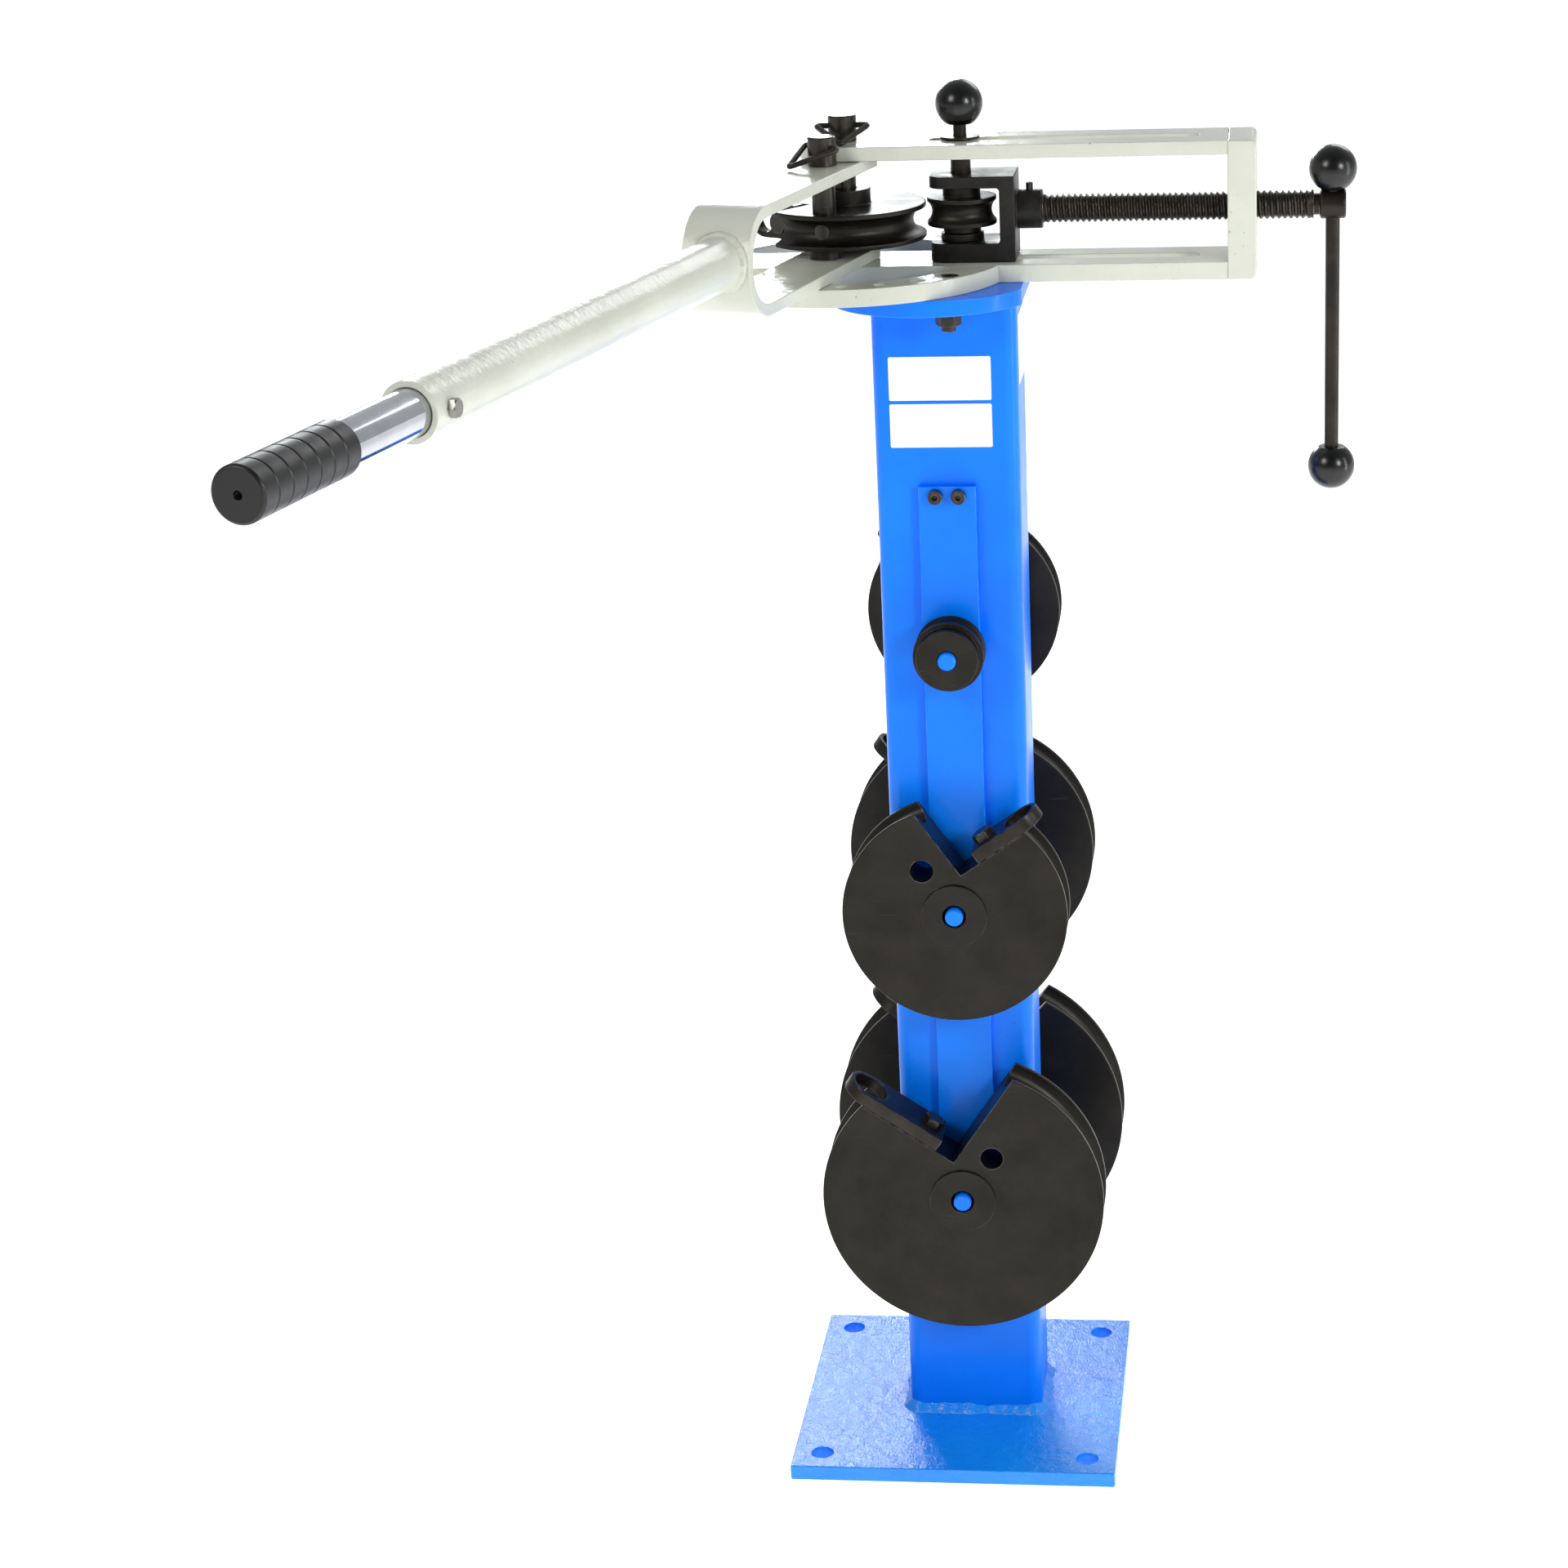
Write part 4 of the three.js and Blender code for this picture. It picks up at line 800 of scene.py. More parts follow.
# Stand
def make_stand():
    """The base plate, the column tube, the oblong plate on it, both welds and the frame's bolts."""
    half = BASE_SIZE / 2
    reach = half - BASE_INSET
    corners = [circle((x, y), BASE_HOLE) for x in (-reach, reach) for y in (-reach, reach)]
    outline = rounded_rectangle(half, half, BASE_CORNER, 2)
    base = raised([outline, *corners], 0, BASE_THICKNESS, SOFT_EDGE)
    # The base plate in the paler blue that paints the light falling on its top.
    piece("base_coat", [base], hammered_blue_with_painted_light, "stand", "blue_paint", ["base_plate"])

    half_x, half_y = COLUMN_SIZE[0] / 2, COLUMN_SIZE[1] / 2
    outside = rounded_rectangle(half_x, half_y, COLUMN_CORNER, 10)
    inside = rounded_rectangle(half_x - COLUMN_WALL, half_y - COLUMN_WALL, COLUMN_CORNER - COLUMN_WALL, 10)
    ends = (BASE_THICKNESS, COLUMN_TOP)
    levels = [(outside, ends[0]), (outside, ends[1]), (inside, ends[1]), (inside, ends[0])]
    tube = skin([np.column_stack([line, np.full(len(line), level)]) for line, level in levels], closed=True)
    piece("column_coat", [tube], blue_enamel, "stand", "blue_paint", ["column"], PEDESTAL)
    foot = turned_place(PEDESTAL, z=BASE_THICKNESS)
    # The foot weld takes the base plate's finish, whose paler blue is painted light.
    piece("foot_weld", [weld_bead(outside, FOOT_WELD)], hammered_blue_with_painted_light, "stand", "blue_paint", (), foot)

    flat_turn = np.degrees(np.arccos((CAP_FLAT + CAP_END_BACK) / CAP_END_RADIUS))
    back_end = arc((-CAP_END_BACK, CAP_END_APART), CAP_END_RADIUS, flat_turn, 180, ROUND // 2)
    front_end = arc((-CAP_END_BACK, -CAP_END_APART), CAP_END_RADIUS, 180, 360 - flat_turn, ROUND // 2)
    oblong = raised([np.concatenate([back_end, front_end])], COLUMN_TOP, HEAD_LEVEL, PLATE_EDGE)
    piece("cap_coat", [oblong], blue_enamel, "stand", "blue_paint", ["cap_plate"], PEDESTAL)
    points, faces = weld_bead(outside, CAP_WELD)
    cap_weld = moved((points * (1, 1, -1), faces), z=COLUMN_TOP)
    piece("cap_weld", [cap_weld], blue_enamel, "stand", "blue_paint", (), PEDESTAL)
    make_frame_bolts()


def weld_bead(outline, leg):
    """A fillet along a closed outline, its leg uneven. At the length s it is the leg times
    1 + the sum of a sin(s / l + 90 a), for waves of size a and length l."""
    closed = np.vstack([outline, outline[:1]])
    length = np.concatenate([[0], np.cumsum(np.linalg.norm(np.diff(closed, axis=0), axis=1))])
    at = np.linspace(0, length[-1], WELD_STEPS, endpoint=False)
    line = np.column_stack([np.interp(at, length, closed[:, axis]) for axis in (0, 1)])
    along = np.roll(line, -1, axis=0) - np.roll(line, 1, axis=0)
    along /= np.linalg.norm(along, axis=1)[:, None]
    out = np.column_stack([along[:, 1], -along[:, 0]])
    waves = ((0.05, 1.9), (0.08, 4.3), (0.09, 7.9), (0.08, 17), (0.06, 31))
    ripple = leg * (1 + sum(size * np.sin(at / length_of + size * 90) for size, length_of in waves))
    share = np.array([[-0.3, 0], [1, 0], [0.75, 0.28], [0.5, 0.52], [0.26, 0.77], [0, 1.0], [-0.3, 1.0]])
    reach = ripple[:, None] * share[None, :, 0]
    rise = ripple[:, None] * share[None, :, 1]
    spread = line[:, None] + reach[:, :, None] * out[:, None]
    return skin_closed_both(np.concatenate([spread, rise[:, :, None]], axis=-1))


def skin_closed_both(rings):
    """A surface through rings where both the rings and their sections close on themselves."""
    count, around = rings.shape[:2]
    return rings.reshape(-1, 3), quads(count, around, True, True)


def make_frame_bolts():
    """A countersunk head whose rows go from round to a six-cornered socket, and a chamfered nut."""
    top = HEAD_LEVEL + PLATE_TOP - FIT
    ring_middle = (RING_INNER + RING_OUTER) / 2
    nut_bore, nut_bottom, nut_top = FRAME_BOLT + FIT, COLUMN_TOP - NUT_DEPTH, COLUMN_TOP - NUT_GAP
    for index, angle in enumerate(FRAME_BOLT_ANGLES):
        x, y = ring_middle * cos(radians(angle)), ring_middle * sin(radians(angle))
        spot = turned_place(PEDESTAL, 0, x - PIVOT_DISTANCE, y)
        bolt = turned(
            [
                (FRAME_BOLT, COLUMN_TOP - FRAME_BOLT_END),
                (FRAME_BOLT, top - FRAME_BOLT_SINK),
                (FRAME_BOLT_HEAD, top),
                (FRAME_SOCKET, top),
                (FRAME_SOCKET, top - FRAME_SOCKET_DEPTH),
            ],
            HEX_ROUND,
            corners=[0, 0, 0, 6, 6],
        )
        name = f"frame_bolt_{index + 1}"
        piece(name + "_steel", [bolt], dark_steel, "stand", "dark_steel", [name], spot)
        nut = turned(
            [
                (nut_bore, nut_bottom),
                (NUT_RADIUS - NUT_CHAMFER, nut_bottom),
                (NUT_RADIUS, nut_bottom + NUT_CHAMFER),
                (NUT_RADIUS, nut_top),
                (nut_bore, nut_top),
            ],
            HEX_ROUND,
            closed=True,
            corners=[0, 0, 6, 6, 0],
        )
        name = f"frame_nut_{index + 1}"
        piece(name + "_steel", [nut], dark_steel, "stand", "dark_steel", [name], spot)


def window_outline(side):
    """One D-shaped window: a tip circle at each end and the ring's inner circle between them."""
    tip_y = BAR_HALF + WINDOW_TIP
    tip_x = sqrt((RING_INNER - WINDOW_TIP) ** 2 - tip_y**2)
    slope = np.degrees(atan2(tip_y, tip_x))
    line = np.concatenate(
        [
            arc((tip_x, tip_y), WINDOW_TIP, -90, slope, 16),
            arc((0, 0), RING_INNER, slope, 180 - slope, 40)[1:-1],
            arc((-tip_x, tip_y), WINDOW_TIP, 180 - slope, 270, 16),
        ]
    )
    return line * (1, side)


def make_frame():
    """The lower plate with its ring, the upper bar with its round end, and the post between them."""
    square_end = [(POST_DISTANCE, -BAR_HALF), (POST_DISTANCE, BAR_HALF)]
    meet = np.degrees(asin(BAR_HALF / RING_OUTER))
    plate = np.concatenate([square_end, arc((0, 0), RING_OUTER, meet, 360 - meet, ROUND)])
    bar = np.concatenate([square_end, arc((0, 0), BAR_HALF, 90, 270, ROUND // 2)])
    windows = [window_outline(side) for side in (1, -1)]
    middle = (RING_INNER + RING_OUTER) / 2
    index_turns = np.radians(INDEX_START + INDEX_STEP * np.arange(INDEX_COUNT))
    small_holes = [(turn, INDEX_HOLE) for turn in index_turns]
    small_holes += [(turn, FRAME_BOLT_HEAD + FIT) for turn in np.radians(FRAME_BOLT_ANGLES)]
    holes = [circle((middle * cos(turn), middle * sin(turn)), radius) for turn, radius in small_holes]
    guide, pin_hole = slot_outline(*SLOT, SLOT_WIDTH), circle((0, 0), PIN_RADIUS + FIT)
    lower = raised([plate, *windows, *holes, guide, pin_hole], 0, PLATE_TOP, PLATE_EDGE)
    piece("lower_plate_coat", [lower], cream_enamel, "stand", "cream_paint", ["lower_plate"], HEAD)
    upper = raised([bar, guide, pin_hole], BAR_BOTTOM, BAR_TOP, PLATE_EDGE)
    piece("upper_bar_coat", [upper], cream_enamel, "stand", "cream_paint", ["upper_bar"], HEAD)
    softened("end_post", cream_enamel, "stand", "cream_paint", SOFT_EDGE)


# Hangers
def peg(height, end):
    """A peg at a height on the strip, from its root in the strip to its chamfered end."""
    profile = [(PEG_RADIUS, PEG_ROOT), (PEG_RADIUS, end - PEG_CHAMFER), (PEG_RADIUS - PEG_CHAMFER, end)]
    return moved(turned(profile, SMALL_ROUND, ease=0.5), y=height)


def make_hanger(name, face, loads):
    """A strip with a peg for each load, the pegs longer than their loads, and its two cap screws."""
    low, high = STRIP_ENDS
    strip = [(-STRIP_HALF, low), (STRIP_HALF, low), (STRIP_HALF, high), (-STRIP_HALF, high)]
    asides = (-CAP_SCREW_ASIDE, CAP_SCREW_ASIDE)
    holes = [circle((aside, CAP_SCREW_AT), CAP_SCREW + FIT, 24) for aside in asides]
    shapes = [raised([np.array(strip, float), *holes], FIT, FIT + STRIP_THICKNESS, STRIP_EDGE)]
    shapes += [peg(height, STRIP_FACE + load + PEG_SPARE) for height, load in zip(PEG_HEIGHTS, loads)]
    piece(name + "_coat", shapes, blue_enamel, "stand", "blue_paint", [name], face)
    top = STRIP_FACE + CAP_SCREW_HEIGHT
    for index, aside in enumerate(asides):
        screw = turned(
            [
                (CAP_SCREW, -CAP_SCREW_DEPTH),
                (CAP_SCREW, STRIP_FACE),
                (CAP_SCREW_HEAD, STRIP_FACE),
                (CAP_SCREW_HEAD, top - CAP_SCREW_CHAMFER),
                (CAP_SCREW_HEAD - CAP_SCREW_CHAMFER, top),
                (CAP_SOCKET, top),
                (CAP_SOCKET, top - CAP_SOCKET_DEPTH),
            ],
            HEX_ROUND,
            corners=[0, 0, 0, 0, 0, 6, 6],
        )
        screw_name = f"{name}_screw_{index + 1}"
        spot = turned_place(face, 0, aside, CAP_SCREW_AT)
        piece(screw_name + "_steel", [screw], dark_steel, "stand", "dark_steel", [screw_name], spot)


# Formers
FormerSize = namedtuple("FormerSize", "radius width pipe hub hub_low hub_high notch hook_start")
MACHINE_FORMER = FormerSize(69, 30, 11, 22, 8, 13, 31, 6)
FORMER_A = FormerSize(87, 34, 13, 26, 6, 3, 35, 20)
FORMER_B = FormerSize(100, 38, 15, 29, 10, 3, 38, 20)
FORMER_C = FormerSize(113, 40, 16, 29, 14, 3, 38, 20)
FORMER_D = FormerSize(128, 43, 17, 30, 10, 3, 38, 20)
FORMER_E = FormerSize(136, 46, 19, 30, 22, 3, 38, 20)


def groove_arc(radius, low, high, pipe, depth, steps=9):
    """The rim from its lower to its upper edge, hollowed by a circle of the pipe's radius."""
    middle, centre = (low + high) / 2, radius + pipe - depth
    spread = np.arccos((centre - radius) / pipe)
    turn = np.linspace(-spread, spread, 2 * steps + 1)
    return np.column_stack([centre - pipe * np.cos(turn), middle + pipe * np.sin(turn)])


def former_body(size):
    """The profile carried round the axis between the notch's two faces. At radius r beyond the
    notch's corner n the material starts at the angle arccos(n / (r sqrt 2)) - 45 degrees."""
    low, high = size.hub_low, size.hub_low + size.width
    top = high + size.hub_high
    rim, notch, bore, hub = size.radius, size.notch, PIN_RADIUS + FIT, size.hub
    face, root = hub + FORMER_FACE, hub + HUB_ROOT
    under, over = [(face, low), (rim, low)], [(rim, high), (face, high)]
    groove = groove_arc(rim, low, high, size.pipe, size.pipe)
    rim_line = eased(np.concatenate([under, groove, over]), SOFT_EDGE)
    rim_line = np.concatenate([[(notch, low)], rim_line[1:-1], [(notch, high)]])
    upper_hub = [(root, high), (hub, high), (hub, top), (bore, top)]
    lower_hub = [(bore, 0), (hub, 0), (hub, low), (root, low)]
    hub_line = eased(upper_hub + lower_hub, FORMER_EDGE)
    profile = np.concatenate([rim_line, hub_line])
    start = np.arccos(np.clip(notch / (np.maximum(profile[:, 0], notch) * sqrt(2)), -1, 1)) - pi / 4
    start = np.maximum(start, 0)[:, None]
    turn = start + np.linspace(0, 1, FORMER_STEPS)[None] * (2 * pi - 2 * start)
    radius, height = (np.repeat(profile[:, [axis]], FORMER_STEPS, axis=1) for axis in (0, 1))
    points = np.stack([radius * np.cos(turn), radius * np.sin(turn), height], axis=-1).reshape(-1, 3)
    faces = quads(len(profile), FORMER_STEPS, True, False)
    rows = np.arange(len(rim_line)) * FORMER_STEPS
    faces += [rows.tolist(), (rows[::-1] + FORMER_STEPS - 1).tolist()]
    return points, faces


def drilled(made, shape, at):
    """Cuts a shape out of a piece for good."""
    cutter_mesh = bpy.data.meshes.new("cutter")
    points, faces = carried(shape, at)
    cutter_mesh.from_pydata((points * MM).tolist(), [], faces)
    cutter = bpy.data.objects.new("cutter", cutter_mesh)
    bpy.context.scene.collection.objects.link(cutter)
    hole = made.modifiers.new("hole", "BOOLEAN")
    hole.operation = "DIFFERENCE"
    hole.solver = "EXACT"
    hole.object = cutter
    others = [m for m in made.modifiers if m != hole]
    for other in others:
        other.show_viewport = False
    bpy.context.view_layer.update()
    whole = made.evaluated_get(bpy.context.evaluated_depsgraph_get())
    cut_mesh = bpy.data.meshes.new_from_object(whole)
    made.modifiers.remove(hole)
    for other in others:
        other.show_viewport = True
    cut_mesh.name = made.name
    made.data = cut_mesh
    bpy.data.objects.remove(cutter)
    bpy.data.meshes.remove(cutter_mesh)


def make_former(name, size, at, angle, side, drive, body):
    """A former, the hook on one face of its notch, and the bolt that holds the hook. The drive hole
    lies at the drive angle from the notch; a former without one is on its drive pin."""
    own = turned_place(at, angle)
    disc = [former_body(size)]
    made = piece(name + "_turned", disc, turned_oxide, body, "black_oxide", [name], own, soften=FORMER_EDGE)
    if drive is not None:
        turn, bore = radians(drive), PIN_RADIUS + FIT
        hole = turned([(bore, -OVERRUN), (bore, load_of(size) + OVERRUN)], SMALL_ROUND)
        drilled(made, hole, turned_place(own, 0, DRIVE_DISTANCE * cos(turn), DRIVE_DISTANCE * sin(turn)))

    face = turned_place(own, side * 45, size.notch, 0, size.hub_low + size.width / 2)
    seat = tipped_place(turned_place(face, 0, 0, -side * FIT), side * 90)
    corner = size.notch / sqrt(2)
    eye = sqrt(size.radius**2 - corner**2) - corner
    start, half = size.hook_start, size.width / 2
    outline = np.concatenate([arc((eye, 0), half, -90, 90, 32), [(start, half), (start, -half)]])
    hook = raised([outline, circle((eye, 0), size.pipe, 48)], 0, HOOK_THICKNESS, SOFT_EDGE)
    piece(name + "_hook_block", [hook], black_oxide, body, "black_oxide", [name + "_hook"], seat)
    under_head = HOOK_THICKNESS + FIT
    top = under_head + HOOK_BOLT_HEIGHT
    bolt = turned(
        [
            (HOOK_BOLT, -HOOK_BOLT_DEPTH),
            (HOOK_BOLT, under_head),
            (HOOK_BOLT_HEAD, under_head),
            (HOOK_BOLT_HEAD, top - HOOK_BOLT_CHAMFER),
            (HOOK_BOLT_HEAD - HOOK_BOLT_CHAMFER, top),
        ],
        HEX_ROUND,
        corners=[0, 0, 6, 6, 0],
    )
    bolt_place = turned_place(seat, 0, start + HOOK_BOLT_AT)
    piece(name + "_hook_bolt", [bolt], dark_steel, body, "dark_steel", [name + "_bolt"], bolt_place)


def make_formers():
    """One former on the machine, and those that hang: name, size, strip, height, angle of the notch,
    side of the hook and angle of the drive hole."""
    machine = turned_place(HANDLE_PLACE, 0, 0, 0, YOKE_BOTTOM + YOKE_THICKNESS + FIT)
    make_former("former_on_machine", MACHINE_FORMER, machine, MACHINE_TURN, -1, None, "handle")
    hung = [
        ("former_front_upper", FORMER_B, FRONT_FACE, PEG_HEIGHTS[1], 80, -1, 44),
        ("former_front_lower", FORMER_D, FRONT_FACE, PEG_HEIGHTS[2], 101, 1, -44),
        ("former_back_upper", FORMER_A, BACK_FACE, PEG_HEIGHTS[0], 72, -1, 44),
        ("former_back_middle", FORMER_C, BACK_FACE, PEG_HEIGHTS[1], 80, -1, 44),
        ("former_back_lower", FORMER_E, BACK_FACE, PEG_HEIGHTS[2], 85, -1, 44),
    ]
    for name, size, face, height, angle, side, drive in hung:
        make_former(name, size, turned_place(face, 0, 0, height, STRIP_FACE), angle, side, drive, name)


def load_of(size):
    """The length of peg that a former takes up."""
    return size.hub_low + size.width + size.hub_high


# Roller, carriage and screw
RollerSize = namedtuple("RollerSize", "radius hub hub_low hub_high bore")
CARRIAGE_ROLLER = RollerSize(29.5, 16, 6.5, 9, KNOB_PIN + FIT)
SPARE_ROLLER = RollerSize(31, 27, 9, 11, PEG_RADIUS + FIT)


def grooved_roller(size):
    """A grooved rim between a foot and a hub."""
    radius, hub, bore, low = size.radius, size.hub, size.bore, size.hub_low
    high = low + ROLLER_WIDTH
    top = high + size.hub_high
    profile = np.concatenate(
        [
            [(bore, 0), (ROLLER_FOOT, 0), (ROLLER_FOOT, low), (radius, low)],
            groove_arc(radius, low, high, ROLLER_PIPE, ROLLER_GROOVE),
            [(radius, high), (hub, high), (hub, top), (bore, top)],
        ]
    )
    return turned(profile, ROUND, ease=0.9, closed=True)


def make_spare_roller():
    spot = turned_place(FRONT_FACE, 0, 0, PEG_HEIGHTS[0], STRIP_FACE)
    roller = grooved_roller(SPARE_ROLLER)
    nodes = ["spare_roller"]
    piece("spare_roller_turned", [roller], turned_oxide, "spare_roller", "black_oxide", nodes, spot)


def ring(inner, outer, low, high, steps, ease):
    """A flat ring, such as a washer."""
    return turned([(inner, low), (outer, low), (outer, high), (inner, high)], steps, ease, closed=True)


def ball(centre, downwards=True):
    """A ball cut flat where its rod goes in: latitude runs from the flat's edge to near the pole."""
    latitude = np.linspace(-asin(BALL_SEAT / BALL_RADIUS), pi / 2 - 0.02, 40)
    sign = 1 if downwards else -1
    height = centre + sign * BALL_RADIUS * np.sin(latitude)
    return turned(np.column_stack([BALL_RADIUS * np.cos(latitude), height]), PIN_ROUND)


def threaded(radius, depth, pitch, start, end, sides=48, samples=7):
    """A screw thread along X: the radius is the outer one less depth times a triangle wave of
    x / pitch - t / (2 pi), flattened at crest and root, and it fades over the first and last pitch."""
    rows = int((end - start) / pitch * samples)
    x = np.linspace(start, end, rows)[:, None]
    turn = np.linspace(0, 2 * pi, sides, endpoint=False)[None]
    phase = (x / pitch - turn / (2 * pi)) % 1
    wave = np.clip(1.6 * (1 - np.abs(2 * phase - 1)) - 0.3, 0, 1)
    fade = np.clip(np.minimum(x - start, end - x) / pitch, 0, 1)
    made = radius - depth * wave * fade
    x = np.repeat(x, sides, axis=1)
    return skin(np.stack([x, made * np.cos(turn), made * np.sin(turn)], axis=-1))


def along_x(profile, steps=ROUND, ease=0.0):
    """A profile turned about the X axis."""
    points, faces = turned(profile, steps, ease)
    return points[:, [2, 0, 1]], faces


def make_carriage():
    """The carriage with its collar's set screw, and the spacer and the roller round the knob's pin."""
    softened("carriage", cast_oxide, "carriage", "black_oxide", SOFT_EDGE)
    spacer = ring(KNOB_PIN + FIT, SPACER_RADIUS, SPACER_BOTTOM, SPACER_TOP, ROUND, 0.6)
    piece("spacer_turned", [spacer], turned_oxide, "carriage", "black_oxide", ["roller_spacer"], CARRIAGE)
    roller = moved(grooved_roller(CARRIAGE_ROLLER), z=SPACER_TOP + FIT)
    nodes = ["carriage_roller"]
    piece("roller_turned", [roller], turned_oxide, "carriage_roller", "black_oxide", nodes, CARRIAGE)
    top = SCREW_LEVEL + COLLAR_RADIUS + SET_SCREW_RISE
    set_screw = turned(
        [
            (SET_SCREW, SCREW_LEVEL + SET_SCREW_ROOT),
            (SET_SCREW, top - 0.4),
            (SET_SCREW - 0.4, top),
            (SET_SCREW_SOCKET, top),
            (SET_SCREW_SOCKET, top - 2),
        ],
        24,
        corners=[0, 0, 0, 6, 6],
    )
    spot = turned_place(CARRIAGE, 0, SET_SCREW_AT)
    piece("set_screw_steel", [set_screw], dark_steel, "carriage", "dark_steel", ["collar_set_screw"], spot)


def make_knob():
    """The carriage pin with its thinner stem, its washer and its ball."""
    centre = BAR_TOP + KNOB_RISE
    pin = turned(
        [
            (KNOB_PIN, PLATE_TOP - KNOB_PIN_DEPTH),
            (KNOB_PIN, BAR_TOP),
            (KNOB_STEM, BAR_TOP),
            (KNOB_STEM, centre - BALL_ROD_END),
        ],
        PIN_ROUND,
        0.6,
    )
    low = BAR_TOP + FIT
    washer = ring(KNOB_STEM + FIT, KNOB_WASHER, low, low + KNOB_WASHER_THICKNESS, PIN_ROUND, 0.5)
    for name, shape, finish, slot_name, node in (
        ("knob_pin_turned", pin, black_oxide, "black_oxide", "knob_pin"),
        ("knob_washer_turned", washer, black_oxide, "black_oxide", "knob_washer"),
        ("knob_ball_moulded", ball(centre), gloss_black, "gloss_black", "knob_ball"),
    ):
        piece(name, [shape], finish, "carriage_knob", slot_name, [node], CARRIAGE)


def make_screw():
    """The journal that runs in the carriage's collar, the thread, and the head with its tee bar."""
    back = CARRIAGE_AT + SCREW_BACK
    end = POST_DISTANCE + POST_THICKNESS + SCREW_OUT
    head = end + SCREW_HEAD_GAP
    journal_rows = [
        (JOURNAL, JOURNAL_ENDS[0]),
        (JOURNAL, JOURNAL_NECK_ENDS[0]),
        (JOURNAL_NECK, JOURNAL_NECK_ENDS[0]),
        (JOURNAL_NECK, JOURNAL_NECK_ENDS[1]),
        (JOURNAL, JOURNAL_NECK_ENDS[1]),
        (JOURNAL, JOURNAL_ENDS[1]),
    ]
    journal = along_x([(radius, back + at) for radius, at in journal_rows], PIN_ROUND, 0.3)
    thread = threaded(SCREW_RADIUS, THREAD_DEPTH, SCREW_PITCH, back + THREAD_START, end)
    neck = along_x([(JOURNAL, end - 1), (JOURNAL, head + 1)], PIN_ROUND)
    collar_rows = [
        (SCREW_HEAD - 2.3, 0),
        (SCREW_HEAD, 1.2),
        (SCREW_HEAD, SCREW_HEAD_LENGTH - 1.5),
        (SCREW_HEAD - 1.3, SCREW_HEAD_LENGTH),
    ]
    collar = along_x([(radius, head + at) for radius, at in collar_rows], PIN_ROUND, 0.6)
    level = turned_place(HEAD, 0, 0, 0, SCREW_LEVEL)
    shapes = [journal, thread, neck, collar]
    piece("lead_screw_turned", shapes, black_oxide, "lead_screw", "black_oxide", ["lead_screw"], level)
    tee = turned_place(level, 0, head + SCREW_HEAD_LENGTH / 2)
    upper = SCREW_HEAD + FIT + BALL_SEAT
    lower = upper - TEE_LENGTH
    bar = turned([(TEE_RADIUS, lower + BALL_ROD_END), (TEE_RADIUS, upper - BALL_ROD_END)], SMALL_ROUND)
    piece("tee_bar_turned", [bar], black_oxide, "tee_bar", "black_oxide", ["tee_bar"], tee)
    for name, shape in (("tee_ball_upper", ball(upper)), ("tee_ball_lower", ball(lower, False))):
        piece(name + "_moulded", [shape], gloss_black, "tee_bar", "gloss_black", [name], tee)


# Pins and bails
def headed_pin(bottom, seat, top):
    """A pin from its bottom to the top of its head, which rests on the seat."""
    return turned(
        [
            (PIN_RADIUS - PIN_CHAMFER, bottom),
            (PIN_RADIUS, bottom + PIN_CHAMFER),
            (PIN_RADIUS, seat),
            (PIN_HEAD, seat),
            (PIN_HEAD, top - PIN_CHAMFER),
            (PIN_HEAD - PIN_CHAMFER, top),
        ],
        PIN_ROUND,
        0.5,
    )


def wire_bail(head_height):
    """A round wire along three straight legs joined by rounded corners, tipped about its own axle
    until its far corner rests on the surface under the pin's head."""
    tuck = PIN_HEAD - BAIL_TUCK
    corners = [(-tuck, 0), (-BAIL_HALF, 0), (0, -BAIL_LENGTH), (BAIL_HALF, 0), (tuck, 0)]
    line = eased(corners, BAIL_CORNER, least=5)
    points, faces = swept(np.column_stack([line, np.zeros(len(line))]), circle((0, 0), BAIL_WIRE, 20))
    dip = asin((head_height - BAIL_DROP - BAIL_WIRE) / BAIL_LENGTH)
    c, s = cos(dip), sin(dip)
    return points @ np.array([[1, 0, 0], [0, c, -s], [0, s, c]]).T, faces


def make_bail(name, at, seat, head_height, turn):
    axle = turned_place(at, turn, 0, 0, seat + head_height - BAIL_DROP)
    piece(name + "_wire", [wire_bail(head_height)], dark_steel, name, "dark_steel", [name], axle)


def make_pins():
    """The main pin and the drive pin, each with its bail, and the low boss round the drive pin."""
    seat = BAR_TOP + FIT
    main = headed_pin(FIT, seat, seat + MAIN_HEAD_HEIGHT)
    piece("main_pin_steel", [main], dark_steel, "main_pin", "dark_steel", ["main_pin"], HEAD)
    make_bail("main_bail", HEAD, seat, MAIN_HEAD_HEIGHT, MAIN_BAIL_TURN)
    spot = turned_place(HANDLE_PLACE, 0, DRIVE_DISTANCE)
    seat = YOKE_TOP + FIT
    drive = headed_pin(YOKE_BOTTOM, seat, seat + DRIVE_HEAD_HEIGHT)
    piece("drive_pin_steel", [drive], dark_steel, "drive_pin", "dark_steel", ["drive_pin"], spot)
    low = YOKE_BOTTOM + YOKE_THICKNESS + BOSS_PLAY
    boss = ring(PIN_RADIUS + BOSS_PLAY, BOSS_RADIUS, low, low + BOSS_HEIGHT, PIN_ROUND, 0.5)
    piece("drive_boss", [boss], black_oxide, "handle", "black_oxide", (), spot)
    make_bail("drive_bail", spot, seat, DRIVE_HEAD_HEIGHT, DRIVE_BAIL_TURN)


